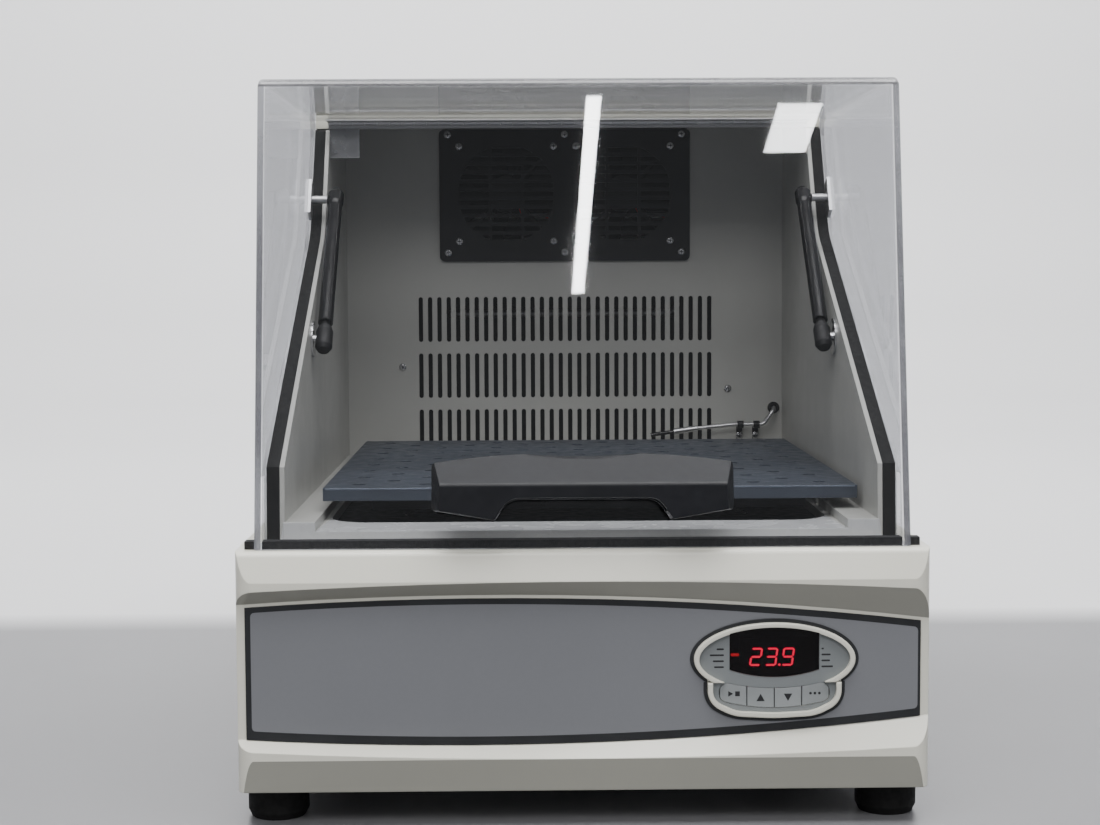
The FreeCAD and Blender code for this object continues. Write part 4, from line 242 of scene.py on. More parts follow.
def rubber():
    shader = Shader("black_rubber", (0.010, 0.010, 0.010), 0.75)
    shader.vary(40.0, 0.2)
    shader.rough(200.0, 0.65, 0.85)
    shader.bump(1500.0, 0.00015)
    return shader.set(Specular_IOR_Level=0.25).material


def foam():
    shader = Shader("black_foam", (0.012, 0.012, 0.013), 0.85)
    shader.vary(120.0, 0.3)
    shader.rough(300.0, 0.75, 0.95)
    shader.bump(500.0, 0.0007, 5.0)
    return shader.material


def brushed(name, colour, low, high, stretch):
    """Bare metal with its grain drawn out along an axis."""
    shader = Shader(name, colour, low, 1.0)
    shader.vary(30.0, 0.05)
    shader.rough(150.0, low, high, stretch)
    shader.bump(600.0, 0.00002, 4.0, stretch)
    shader.soften(0.0004)
    return shader.material


def cast():
    shader = Shader("cast_metal", (0.10, 0.10, 0.105), 0.6, 0.6)
    shader.vary(25.0, 0.1)
    shader.rough(80.0, 0.5, 0.7)
    shader.bump(500.0, 0.0002, 5.0)
    return shader.material


def black_sheet():
    shader = Shader("black_sheet", (0.012, 0.012, 0.014), 0.38)
    shader.vary(20.0, 0.15)
    # Painted highlight along the sheet's edges.
    shader.edges(0.0006, (0.05, 0.05, 0.055), 0.5)
    shader.rough(110.0, 0.34, 0.50)
    shader.bump(1500.0, 0.00002)
    return shader.set(Specular_IOR_Level=0.3).material


def circuit_board():
    shader = Shader("circuit_board", (0.02, 0.10, 0.045), 0.35)
    shader.vary(60.0, 0.2)
    shader.rough(200.0, 0.3, 0.5)
    shader.bump(900.0, 0.00005)
    return shader.material


GLOSS_POWER = 5.0


def clear_sheet(name, tint, at_edge, shine=1.0):
    """Clear sheet: what is behind shows through, darker at a slant, under a thin gloss."""
    shader = Shader(name, (0.9, 0.9, 0.9), 0.04)
    glass = shader.node("ShaderNodeBsdfTransparent")
    facing = shader.node("ShaderNodeLayerWeight")
    facing.inputs["Blend"].default_value = 0.5
    edge = shader.spread(facing.outputs["Facing"], 0.6, 1.0, 0.0, 1.0)
    clear = shader.mix(edge, tint, tuple(value * at_edge for value in tint))
    shader.link(clear, glass.inputs["Color"])
    gloss = shader.node("ShaderNodeBsdfGlossy")
    gloss.inputs["Color"].default_value = (0.95, 0.96, 0.97, 1.0)
    wipe = shader.spread(shader.noise(5.0, 6.0), 0.45, 0.8, 0.012, 0.04)
    shader.link(wipe, gloss.inputs["Roughness"])
    steep = shader.node("ShaderNodeMath", operation="POWER")
    shader.link(facing.outputs["Facing"], steep.inputs[0])
    steep.inputs[1].default_value = GLOSS_POWER
    share = shader.spread(steep.outputs["Value"], 0.0, 1.0, 0.04 * shine, 0.55 * shine)
    mixed = shader.node("ShaderNodeMixShader")
    shader.link(share, mixed.inputs["Fac"])
    shader.link(glass.outputs["BSDF"], mixed.inputs[1])
    shader.link(gloss.outputs["BSDF"], mixed.inputs[2])
    shader.link(mixed.outputs["Shader"], shader.out.inputs["Surface"])
    shader.tree.nodes.remove(shader.main)
    return shader.material


def sawn_edge(name, dark, light, alpha):
    """The cut edge of the clear sheet gathers light in places and looks grey in others."""
    shader = Shader(name, light, 0.2)
    along = shader.spread(shader.noise(7.0, 2.0, (1.0, 1.0, 0.8)), 0.42, 0.58, 0.0, 1.0)
    shader.paint(shader.mix(along, dark, light))
    shader.rough(400.0, 0.14, 0.28, (1.0, 1.0, 8.0))
    shader.bump(1500.0, 0.00004)
    return shader.set(Alpha=alpha, Coat_Weight=0.4, Coat_Roughness=0.1).material


def bent_sheet():
    """The bend along the lid's top edge shows as a dark line, because it turns the light aside."""
    shader = Shader("acrylic_bend", (0.10, 0.10, 0.11), 0.12)
    shader.vary(30.0, 0.2)
    shader.rough(200.0, 0.08, 0.2)
    return shader.set(Alpha=0.6, Coat_Weight=0.5, Coat_Roughness=0.05).material


def frosted_tab():
    """The stop tab is clear sheet with a light, scratched face."""
    shader = Shader("tab_acrylic", (0.40, 0.41, 0.43), 0.3)
    shader.vary(80.0, 0.1)
    shader.rough(300.0, 0.22, 0.4)
    return shader.set(Alpha=0.42, Coat_Weight=0.3, Coat_Roughness=0.1).material


def glow(name, colour, strength):
    """A lit part of the display."""
    shader = Shader(name, tuple(value * 0.3 for value in colour), 0.4)
    shader.bump(3000.0, 0.00001)
    shader.main.inputs["Emission Color"].default_value = (*colour, 1.0)
    shader.main.inputs["Emission Strength"].default_value = strength
    return shader.material


def silver_print():
    """The silver field of the front overlay: fine metallic ink under a satin film."""
    shader = Shader("silver_print", (0.215, 0.22, 0.236), 0.40, 0.35)
    shader.vary(4.0, 0.03)
    shader.rough(300.0, 0.38, 0.50)
    shader.bump(2600.0, 0.00002)
    return shader.set(Coat_Weight=0.2, Coat_Roughness=0.3).material


def membrane():
    """The grey printed film of the control field."""
    shader = Shader("membrane_film", (0.20, 0.215, 0.22), 0.4, 0.1)
    shader.vary(8.0, 0.02)
    shader.rough(260.0, 0.36, 0.48)
    shader.bump(2400.0, 0.00002)
    return shader.set(Coat_Weight=0.2, Coat_Roughness=0.3).material


looks = {
    "cream_gloss": cream_gloss(),
    # A darker copy of the cream moulding, as painted shade on the front bezel's down-facing faces.
    "cream_painted_shade": cream_gloss("cream_moulding_painted_shade", (0.30, 0.295, 0.255)),
    "cream_panel": cream_panel(),
    "liner": liner_paint(),
    "sill": sill_painted_highlight(),
    "platform": platform_paint(),
    # Painted highlight: the bright strip along the platform's front edge.
    "platform_edge_highlight": brushed("platform_edge_highlight", (0.22, 0.25, 0.31), 0.3, 0.42, (12.0, 1.0, 1.0)),
    "black": black_plastic(colour=(0.007, 0.007, 0.008), low=0.42, high=0.55),
    "gloss_black": black_plastic("gloss_black", (0.008, 0.008, 0.009), 0.16, 0.26),
    "handle": handle_plastic(),
    "rubber": rubber(),
    "foam": foam(),
    "steel": brushed("brushed_steel", (0.52, 0.52, 0.53), 0.28, 0.45, (1.0, 12.0, 12.0)),
    "bright": brushed("bright_steel", (0.66, 0.66, 0.67), 0.12, 0.24, (6.0, 1.0, 6.0)),
    "aluminium": brushed("aluminium", (0.62, 0.63, 0.64), 0.3, 0.45, (1.0, 1.0, 10.0)),
    "cast": cast(),
    "black_sheet": black_sheet(),
    "board": circuit_board(),
    "lid": clear_sheet("clear_acrylic", (0.95, 0.95, 0.955), 0.88),
    "lid_side": clear_sheet("clear_acrylic_side", (0.845, 0.85, 0.865), 0.86, 0.8),
    "lid_top": clear_sheet("clear_acrylic_top", (0.84, 0.84, 0.84), 0.72, 1.6),
    "lid_edge": sawn_edge("acrylic_edge", (0.16, 0.165, 0.18), (0.62, 0.64, 0.66), 0.72),
    "lid_band": sawn_edge("acrylic_band", (0.05, 0.05, 0.065), (0.26, 0.265, 0.29), 0.62),
    "lid_bend": bent_sheet(),
    "tab": frosted_tab(),
    "window": clear_sheet("smoked_window", (0.30, 0.20, 0.21), 0.7, 0.6),
    "overlay": black_plastic("overlay_border", (0.022, 0.023, 0.025), 0.32, 0.42),
    "silver": silver_print(),
    "key": black_plastic("key_face", (0.27, 0.285, 0.29), 0.38, 0.5),
    "led_digit": glow("led_digit", (1.0, 0.012, 0.12), 11.0),
    "led_bar": glow("led_bar", (1.0, 0.03, 0.06), 4.0),
    "membrane": membrane(),
    "led_off": black_plastic("led_dark", (0.06, 0.012, 0.012), 0.3, 0.4),
    # Dark print ink; the screws' crosses also use it as painted shade in their recesses.
    "ink": black_plastic("dark_ink_and_painted_shade", (0.02, 0.02, 0.022), 0.45, 0.55),
    "wire_red": black_plastic("red_wire", (0.75, 0.03, 0.02), 0.35, 0.45),
}

node_looks = {
    "cream_gloss": ["front_bezel", "control_bezel"],
    "cream_panel": ["base_cabinet", "cabinet_shell", "top_panel", "rear_panel"],
    "liner": ["chamber_liner"],
    "platform": ["platform"],
    "black": ["power_inlet", "switch_frame", "switch_rocker", "probe_clips", "fan_frames",
              "fan_rotor_left", "fan_rotor_right", "strut_left_rod", "strut_right_rod"],
    "gloss_black": ["strut_left_cylinder", "strut_right_cylinder"],
    "handle": ["lid_handle"],
    "rubber": ["rubber_feet", "drive_belt", "probe_grommet", "side_gaskets"],
    "foam": ["base_gasket"],
    "steel": ["base_pan", "hinge_lid_leaf", "hinge_body_leaf", "heater_element", "crank_shaft",
              "lid_brackets", "temperature_probe"],
    "bright": ["hinge_pin", "strut_lower_studs", "chamber_screws", "rear_screws",
               "crank_bearings"],
    "aluminium": ["driven_pulley", "motor_pulley", "drive_frame"],
    "cast": ["counterweight", "transformer"],
    "black_sheet": ["fan_plate", "deck_tray", "drive_motor", "air_duct", "carrier_plate",
                    "platform_posts", "idler_crank_left", "idler_crank_right", "display_board"],
    "board": ["control_board"],
    "lid": ["lid"],
    "tab": ["stop_tab"],
    "window": ["display_window"],
    "overlay": ["front_overlay"],
    "key": ["key_run", "key_up", "key_down", "key_select"],
}


def dress(obj, look):
    """Gives a piece one look all over."""
    obj.data.materials.clear()
    obj.data.materials.append(looks[look])


for look, names in node_looks.items():
    for name in names:
        dress(nodes[name], look)


# Helpers for shapes. Their sizes are in millimetres.

MM = 0.001


def at(x, y, z):
    """A place given in millimetres."""
    return Vector((x * MM, y * MM, z * MM))


def attach(name, mesh, look, body="cabinet"):
    """Adds a piece that moves with a body of the frame."""
    piece = bpy.data.objects.new(name, mesh)
    scene.collection.objects.link(piece)
    dress(piece, look)
    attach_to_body(piece, body)
    return piece


def thickened(form, faces, thickness):
    """Gives flat faces of a form a thickness toward the back."""
    made = bmesh.ops.extrude_face_region(form, geom=faces)
    behind = [item for item in made["geom"] if isinstance(item, bmesh.types.BMVert)]
    bmesh.ops.translate(form, verts=behind, vec=at(0, thickness, 0))
    bmesh.ops.recalc_face_normals(form, faces=form.faces)
    return form


def plate(points, depth, thickness):
    """A flat closed form: an outline of (x, z) pairs whose front lies at depth."""
    form = bmesh.new()
    ring = [form.verts.new(at(x, depth, z)) for x, z in points]
    face = form.faces.new(ring)
    form.normal_update()
    if face.normal.y > 0:
        face.normal_flip()
    return thickened(form, [face], thickness)


def rectangle(left, right, low, high):
    """The outline of an upright rectangle."""
    return [(left, low), (right, low), (right, high), (left, high)]


def finished(form, name):
    """The mesh of a form, which is freed."""
    mesh = bpy.data.meshes.new(name)
    form.to_mesh(mesh)
    form.free()
    return mesh


def merged(forms, name):
    """One mesh from several."""
    whole = bmesh.new()
    for form in forms:
        part = bpy.data.meshes.new(name + "_part")
        form.to_mesh(part)
        form.free()
        whole.from_mesh(part)
        bpy.data.meshes.remove(part)
    return finished(whole, name)


def rounded_bar(x, z, length, height, steps=6):
    """The outline of a bar with round ends about its middle."""
    radius = height / 2
    half = length / 2 - radius
    points = []
    for centre, start in ((half, -90), (-half, 90)):
        for step in range(steps + 1):
            turn = math.radians(start + 180 * step / steps)
            points.append((x + centre + radius * math.cos(turn), z + radius * math.sin(turn)))
    return points


def circle_height(points):
    """The height at any x of the circle through three (x, z) points."""
    (x1, z1), (x2, z2), (x3, z3) = points
    slope_a, slope_b = (z2 - z1) / (x2 - x1), (z3 - z2) / (x3 - x2)
    across = slope_a * slope_b * (z1 - z3) + slope_b * (x1 + x2) - slope_a * (x2 + x3)
    x = across / (2 * (slope_b - slope_a))
    z = (z1 + z2) / 2 - (x - (x1 + x2) / 2) / slope_a
    radius = math.hypot(x1 - x, z1 - z)
    sign = 1 if z2 > z else -1
    return lambda here: z + sign * math.sqrt(radius ** 2 - (here - x) ** 2)


# The front panel: the pod's outline, the silver field and what is printed on it.

OVERLAY_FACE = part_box("front_overlay")[0][1] / MM
POD_X = 154.0
POD_MIDDLE = 135.0
POD_HALF = (68.2, 32.6)
POD_FOOT_HALF = 57.1
POD_FOOT = (83.6, 116.0)
POD_PLATE = 1.2
FOOT_SHARES = ((0, 0), (0.44, 0.04), (0.61, 0.09), (0.78, 0.21), (0.89, 0.34), (0.95, 0.47),
               (0.985, 0.62), (1, 0.79))
PLATE_FACE = OVERLAY_FACE - POD_PLATE
FACE_TOLERANCE = 0.06
BORDER_INSET = 3.3
FILM_INSET = 5.0
SILL_DEPTH = 60.0
SILL_TOP = 246.0
SLEEVE_SPAN = (96.5, 121.0)


def pod_foot_low(x, inset):
    """The height of the foot's lower outline at x, or None beside it."""
    half = POD_FOOT_HALF - inset
    share = abs(x - POD_X) / half
    if share >= 1:
        return None
    for (a, b), (c, d) in zip(FOOT_SHARES, FOOT_SHARES[1:]):
        if share <= c:
            rise = b + (d - b) * (share - a) / (c - a)
            return POD_FOOT[0] + inset + (POD_FOOT[1] - POD_FOOT[0]) * rise
    return None


def pod_span(x, inset):
    """The pod's lowest and highest point at x, or None beside it."""
    half, tall = POD_HALF[0] - inset, POD_HALF[1] - inset
    share = (x - POD_X) / half
    if abs(share) >= 1:
        return None
    rise = tall * math.sqrt(1 - share ** 2)
    low = POD_MIDDLE - rise
    foot = pod_foot_low(x, inset)
    return (low if foot is None else min(low, foot)), POD_MIDDLE + rise


def in_pod(place, inset):
    """Whether a place lies inside the pod's outline, drawn in by inset."""
    span = pod_span(place.x, inset)
    return span is not None and span[0] < place.z < span[1]


def dress_faces(obj, look, chosen):
    """Another look for the faces whose middle and normal pass a test."""
    obj.data.materials.append(looks[look])
    index = len(obj.data.materials) - 1
    for face in obj.data.polygons:
        if chosen(face.center / MM, face.normal):
            face.material_index = index


# Tests for faces. Each gets the face's middle in millimetres and its normal.

def in_border(place, normal):
    return place.y > PLATE_FACE - FACE_TOLERANCE and not in_pod(place, BORDER_INSET)


def in_film(place, normal):
    return abs(place.y - PLATE_FACE) < FACE_TOLERANCE and in_pod(place, FILM_INSET)


def looks_down(place, normal):
    return normal.y < -0.3 and normal.z < -0.05


def in_sill(place, normal):
    return place.y < LINER_FRONT + SILL_DEPTH and place.z < SILL_TOP and normal.y < 0.5


def in_sleeve(place, normal):
    return SLEEVE_SPAN[0] < place.x < SLEEVE_SPAN[1] and abs(normal.x) < 0.6


LINER_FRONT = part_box("chamber_liner")[0][1] / MM
dress_faces(nodes["control_bezel"], "overlay", in_border)
dress_faces(nodes["control_bezel"], "membrane", in_film)
# Painted shade: the front bezel's down-facing faces get the darker cream.
dress_faces(nodes["front_bezel"], "cream_painted_shade", looks_down)
# Painted highlight: the liner's front sill gets a lighter grey than its walls.
dress_faces(nodes["chamber_liner"], "sill", in_sill)
dress_faces(nodes["temperature_probe"], "gloss_black", in_sleeve)


# The field's edges are circles through three places each.
SILVER_TOP = ((-259.9, 175.4), (-60.0, 180.6), (259.6, 160.9))
SILVER_FOOT = ((-261.4, 78.1), (-100.2, 72.8), (272.3, 93.4))
SILVER_LEFT, SILVER_RIGHT = -268.0, 270.4
SILVER_CORNER = 3.0
CORNER_COLUMNS = (0.4, 1.0, 1.9)
SILVER_STEP = 2.0
SILVER_TUCK = 2.0
SEAM_SLACK = 0.001
SILVER_PROUD, SILVER_THICKNESS = 0.12, 0.10


def silver_columns():
    """The places across the field where its strips begin and end."""
    left, right = SILVER_LEFT, SILVER_RIGHT
    columns = [left + SILVER_STEP * i for i in range(int((right - left) / SILVER_STEP))] + [right]
    for fine in CORNER_COLUMNS:
        columns += [left + fine, right - fine]
    pod_edge = POD_HALF[0] - SILVER_TUCK
    return sorted(columns + [POD_X - pod_edge, POD_X + pod_edge])


def silver_field():
    """The printed silver field, as strips from its lower to its upper edge, round the pod."""
    top = circle_height(SILVER_TOP)
    foot = circle_height(SILVER_FOOT)
    pod_edge = POD_HALF[0] - SILVER_TUCK
    whole, above, below, after = [], [], [], []
    for x in silver_columns():
        inward = min(x - SILVER_LEFT, SILVER_RIGHT - x, SILVER_CORNER)
        rise = math.sqrt(max(SILVER_CORNER ** 2 - (SILVER_CORNER - inward) ** 2, 0.0))
        cut = SILVER_CORNER - rise
        low, high = foot(x) + cut, top(x) - cut
        span = pod_span(x, SILVER_TUCK)
        if span is None and abs(x - POD_X) <= pod_edge + SEAM_SLACK:
            span = (POD_MIDDLE, POD_MIDDLE)
        if x < POD_X - pod_edge + SEAM_SLACK:
            whole.append((x, low, high))
        if span is not None:
            above.append((x, span[1], high))
            below.append((x, low, span[0]))
        if x > POD_X + pod_edge - SEAM_SLACK:
            after.append((x, low, high))

    form = bmesh.new()
    for spans in (whole, above, below, after):
        rows = [[form.verts.new(at(x, OVERLAY_FACE - SILVER_PROUD, z)) for z in (low, high)]
                for x, low, high in spans]
        for (a, b), (c, d) in zip(rows, rows[1:]):
            form.faces.new((a, c, d, b))
    return finished(thickened(form, form.faces[:], SILVER_THICKNESS), "overlay_silver_field")


attach("overlay_silver_field", silver_field(), "silver")


# The display behind its window: plain red digits and two columns of bars.

SEGMENTS = {"2": "abged", "3": "abgcd", "9": "abcdfg"}
DIGIT_WIDTH, DIGIT_HEIGHT, SEGMENT = 8.6, 15.0, 1.7
DIGIT_LEAN = 0.13
DIGIT_MIDDLE = 136.1
DIGITS = (("2", 139.3), ("3", 151.8), ("9", 165.2))
DOT_X, DOT_LIFT, DOT_SIZE = 158.2, 1.0, 2.2
SEGMENT_GAP = 0.35
SEGMENT_INSET, SEGMENT_SHOULDER, SEGMENT_TIP = 0.4, 0.2, 0.6
INK = 0.12
DISPLAY_FACE = OVERLAY_FACE + 0.08
BAR_TOP, BAR_STEP = 142.8, 4.87
BAR_COLUMNS = (122.2, 182.8)
BAR_SIZE = (7.0, 2.4)
LIT_BAR = (122.2, 1)


def segment_bars(figure, x):
    """The lit bars of one figure, leaning to the right, as outlines of (x, z) pairs."""
    wide, tall, thick = DIGIT_WIDTH / 2, DIGIT_HEIGHT / 2, SEGMENT / 2
    across = {"a": tall - thick, "g": 0.0, "d": thick - tall}
    upright = {"f": (-1, 1), "b": (1, 1), "e": (-1, -1), "c": (1, -1)}
    bars = []
    for letter in SEGMENTS[figure]:
        if letter in across:
            height, reach = across[letter], wide - SEGMENT_GAP
            points = [(-reach, height), (-reach + thick, height + thick),
                      (reach - thick, height + thick), (reach, height),
                      (reach - thick, height - thick), (-reach + thick, height - thick)]
        else:
            side, end = upright[letter]
            middle = side * (wide - thick * SEGMENT_INSET)
            low, high = SEGMENT_GAP, tall - thick - SEGMENT_GAP
            shoulder, tip = high - thick * SEGMENT_SHOULDER, high + thick * SEGMENT_TIP
            points = [(middle, end * low), (middle - thick, end * (low + thick)),
                      (middle - thick, end * shoulder), (middle, end * tip),
                      (middle + thick, end * shoulder), (middle + thick, end * (low + thick))]
        bars.append([(x + dx + DIGIT_LEAN * dz, DIGIT_MIDDLE + dz) for dx, dz in points])
    return bars


def display_bar(column, row):
    """One of the short bars beside the digits."""
    return plate(rounded_bar(column, BAR_TOP - BAR_STEP * row, *BAR_SIZE), DISPLAY_FACE, INK)


def make_display():
    outlines = [bar for figure, x in DIGITS for bar in segment_bars(figure, x)]
    outlines.append(rounded_bar(DOT_X, DIGIT_MIDDLE - DIGIT_HEIGHT / 2 + DOT_LIFT, DOT_SIZE, DOT_SIZE))
    digits = [plate(outline, DISPLAY_FACE, INK) for outline in outlines]
    attach("display_digits", merged(digits, "display_digits"), "led_digit")
    attach("display_lit_bar", finished(display_bar(*LIT_BAR), "display_lit_bar"), "led_bar")
    places = [(column, row) for column in BAR_COLUMNS for row in range(4)]
    dim = [display_bar(*place) for place in places if place != LIT_BAR]
    attach("display_dark_bars", merged(dim, "display_dark_bars"), "led_off")


make_display()


# Printing on the film: plain marks beside the window, and a sign on each key.

KEY_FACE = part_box("key_up")[0][1] / MM
KEY_MIDDLES = {"run": 120.7, "up": 142.9, "down": 165.1, "select": 187.3}
KEY_ROW_HALF = 44.4
KEY_ROW_HEIGHT = 108.8
KEY_ROW_SAG = 6.0
MARK_ENDS = (113.2, 192.0)
MARK_LENGTHS = ((6.0, 2.0), (11.5, 7.5), (9.0, 7.0), (8.0, 9.5))
MARK_HEIGHT = 1.4
PRINT_PROUD = 0.06
TRIANGLE_HALF, TRIANGLE_RISE = 3.4, 3.0
ARROW_LEFT, ARROW_RIGHT, ARROW_HALF = -4.6, -0.6, 2.3
SQUARE_LEFT, SQUARE_RIGHT, SQUARE_HALF = 1.0, 4.8, 2.0
DOTS_STEP, DOTS_SIZE = 3.6, 2.2
SIGN_LIFT = 0.3
RUN_SIGN_X = KEY_MIDDLES["run"] + 0.6
SELECT_SIGN_X = KEY_MIDDLES["select"] - 0.4


def key_height(x):
    """The middle of the bowed row of keys at x."""
    share = (x - POD_X) / KEY_ROW_HALF
    return KEY_ROW_HEIGHT - KEY_ROW_SAG * (1 - share ** 2)


def make_marks():
    marks = []
    film = PLATE_FACE - PRINT_PROUD
    for row, (left, right) in enumerate(MARK_LENGTHS):
        height = BAR_TOP - BAR_STEP * row
        left_bar = rounded_bar(MARK_ENDS[0] - left / 2, height, left, MARK_HEIGHT)
        right_bar = rounded_bar(MARK_ENDS[1] + right / 2, height, right, MARK_HEIGHT)
        marks += [plate(left_bar, film, INK), plate(right_bar, film, INK)]
    attach("membrane_marks", merged(marks, "membrane_marks"), "ink")


def make_key_sign(key, outlines):
    """Prints outlines on a key, and moves with it."""
    name = f"key_{key}_sign"
    forms = [plate(outline, KEY_FACE - PRINT_PROUD, INK) for outline in outlines]
    attach(name, merged(forms, name), "ink", f"{key}_key")


def make_print():
    make_marks()
    for key, sign in (("up", 1), ("down", -1)):
        x = KEY_MIDDLES[key]
        z = key_height(x)
        foot, tip = z - sign * TRIANGLE_RISE, z + sign * TRIANGLE_RISE
        make_key_sign(key, [[(x - TRIANGLE_HALF, foot), (x + TRIANGLE_HALF, foot), (x, tip)]])
    x = RUN_SIGN_X
    z = key_height(x) + SIGN_LIFT
    arrow = [(x + ARROW_LEFT, z - ARROW_HALF), (x + ARROW_RIGHT, z), (x + ARROW_LEFT, z + ARROW_HALF)]
    square = rectangle(x + SQUARE_LEFT, x + SQUARE_RIGHT, z - SQUARE_HALF, z + SQUARE_HALF)
    make_key_sign("run", [arrow, square])
    x = SELECT_SIGN_X
    z = key_height(x) + SIGN_LIFT
    dots = [rounded_bar(x + DOTS_STEP * step, z, DOTS_SIZE, DOTS_SIZE) for step in (-1, 0, 1)]
    make_key_sign("select", dots)


make_print()


# Small things: the screws' crosses in painted shade, the fans' leads, the platform's painted edge
# highlight, the tab's screw.

CROSS_HALF, CROSS_WIDTH, CROSS_THICKNESS = 2.1, 0.8, 0.15
CROSS_PROUD = 0.05
FAN_LEADS = {
    "left": ((-51.0, 520.5), (-50.0, 511.5), (-40.0, 509.0), (-24.0, 510.5), (-15.0, 506.0)),
    "right": ((79.0, 520.5), (81.0, 511.5), (92.0, 509.5), (106.0, 510.5), (115.0, 506.0)),
}
LEAD_DEPTH = 259.2
LEAD_RADIUS = 0.45
TAB_SCREW_PLACE = (-237.7, 571.0)
TAB_SCREW_SIZE, TAB_SCREW_HEIGHT = 4.0, 0.5
# Sizes of the painted highlight strip along the platform's front edge.
HIGHLIGHT_END, HIGHLIGHT_LOW, HIGHLIGHT_HIGH = 2.0, 1.5, 0.2
HIGHLIGHT_PROUD, HIGHLIGHT_THICKNESS = 0.06, 0.12


def screw_places(obj):
    """Each screw's middle as x and z, and its front and back, from the mesh's shells."""
    form = bmesh.new()
    form.from_mesh(obj.data)
    seen, screws = set(), []
    for start in form.verts:
        if start in seen:
            continue
        shell, queue = [], [start]
        seen.add(start)
        while queue:
            here = queue.pop()
            shell.append(here.co / MM)
            for edge in here.link_edges:
                there = edge.other_vert(here)
                if there not in seen:
                    seen.add(there)
                    queue.append(there)
        lows = [min(spot[axis] for spot in shell) for axis in range(3)]
        highs = [max(spot[axis] for spot in shell) for axis in range(3)]
        x, z = ((lows[axis] + highs[axis]) / 2 for axis in (0, 2))
        screws.append((x, z, lows[1], highs[1]))
    form.free()
    return screws


# The screws' cross recesses are dark plates: painted shade in the hollows.
def make_crosses():
    for node, behind in (("chamber_screws", False), ("rear_screws", True)):
        bars = []
        for x, z, front, back in screw_places(nodes[node]):
            depth = back + CROSS_PROUD - CROSS_THICKNESS if behind else front - CROSS_PROUD
            for wide, tall in ((CROSS_HALF, CROSS_WIDTH / 2), (CROSS_WIDTH / 2, CROSS_HALF)):
                outline = rectangle(x - wide, x + wide, z - tall, z + tall)
                bars.append(plate(outline, depth, CROSS_THICKNESS))
        attach(node + "_crosses", merged(bars, node + "_crosses"), "ink")


def make_leads():
    for side, points in FAN_LEADS.items():
        line = bpy.data.curves.new(f"fan_lead_{side}", "CURVE")
        line.dimensions = "3D"
        line.bevel_depth = LEAD_RADIUS * MM
        line.bevel_resolution = 3
        spline = line.splines.new("NURBS")
        spline.points.add(len(points) - 1)
        for point, (x, z) in zip(spline.points, points):
            point.co = (*at(x, LEAD_DEPTH, z), 1.0)
        spline.order_u = 3
        spline.use_endpoint_u = True
        attach(f"fan_lead_{side}", line, "wire_red")


def make_tab_screw():
    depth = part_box("stop_tab")[0][1] / MM - TAB_SCREW_HEIGHT
    outline = rounded_bar(*TAB_SCREW_PLACE, TAB_SCREW_SIZE, TAB_SCREW_SIZE)
    head = plate(outline, depth, TAB_SCREW_HEIGHT)
    attach("stop_tab_screw", finished(head, "stop_tab_screw"), "bright")


def make_platform_edge():
    """A painted highlight: a light strip along the platform's front edge."""
    low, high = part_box("platform")
    left, right, depth, top = low[0] / MM, high[0] / MM, low[1] / MM, high[2] / MM
    outline = rectangle(left + HIGHLIGHT_END, right - HIGHLIGHT_END, top - HIGHLIGHT_LOW, top - HIGHLIGHT_HIGH)
    strip = finished(plate(outline, depth - HIGHLIGHT_PROUD, HIGHLIGHT_THICKNESS), "platform_front_highlight")
    attach("platform_front_highlight", strip, "platform_edge_highlight", "platform")


make_crosses()
make_leads()
make_platform_edge()
make_tab_screw()


# The cut edges of the clear lid.

LID_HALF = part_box("lid")[1][0] / MM
LID_SHEET = 5.5
BEND_ROOM = 9.0
REAR_ROOM = 20.0
SIDE_SLACK, UNDER_SLACK = 0.1, 0.2
FACING, LEVEL = 0.9, 0.97
LID_LOOKS = ("lid_edge", "lid_bend", "lid_side", "lid_top")


def in_bend(normal):
    """Whether a face lies on the bend between the front and the top."""
    return normal.y < -0.15 and 0.25 < normal.z < LEVEL


def lid_look(spots, normal, low, high, back):
    """The look of one face of the lid, from its corners and its normal, or None."""
    inner = LID_HALF - LID_SHEET - SIDE_SLACK
    in_side = any(all(side * spot.x > inner for spot in spots) for side in (-1, 1))
    under = all(spot.z < low + UNDER_SLACK for spot in spots)
    if under or (in_side and abs(normal.x) < 0.3 and normal.y > -0.5):
        return "lid_edge"
    if abs(normal.y) > FACING and min(spot.y for spot in spots) > back - REAR_ROOM:
        return "lid_edge"
    if in_bend(normal) and min(spot.z for spot in spots) > high - BEND_ROOM:
        return "lid_bend"
    if abs(normal.x) > FACING:
        return "lid_side"
    if abs(normal.z) > LEVEL:
        return "lid_top"
    return None


def lid_edges():
    lid = nodes["lid"].data
    for look in LID_LOOKS:
        lid.materials.append(looks[look])
    spots = [corner.co / MM for corner in lid.vertices]
    low = min(spot.z for spot in spots)
    high = max(spot.z for spot in spots)
    back = max(spot.y for spot in spots)
    for face in lid.polygons:
        look = lid_look([spots[index] for index in face.vertices], face.normal, low, high, back)
        if look:
            face.material_index = 1 + LID_LOOKS.index(look)


lid_edges()


# The side sheets' thickness shows through the front as a grey band, and the bend as a dark line.

LEAN_DEGREES = 9.66
SIDE_MARGIN, BEND_MARGIN = 0.3, 0.5
FRONT_LOW, FRONT_HIGH = 225.8, 601.0
BEND_LINE = (600.2, 602.0)
LINE_PROUD = 0.08
LINE_THICKNESS = 0.06


def lean(z):
    """The depth of the lid's front face at a height."""
    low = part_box("lid")[0]
    return low[1] / MM + (z - low[2] / MM) * math.tan(math.radians(LEAN_DEGREES))


def front_strip(left, right, low, high):
    """A thin strip on the leaning front of the lid."""
    form = bmesh.new()
    corners = [at(x, lean(z) - LINE_PROUD, z) for x, z in rectangle(left, right, low, high)]
    face = form.faces.new([form.verts.new(corner) for corner in corners])
    return thickened(form, [face], LINE_THICKNESS)


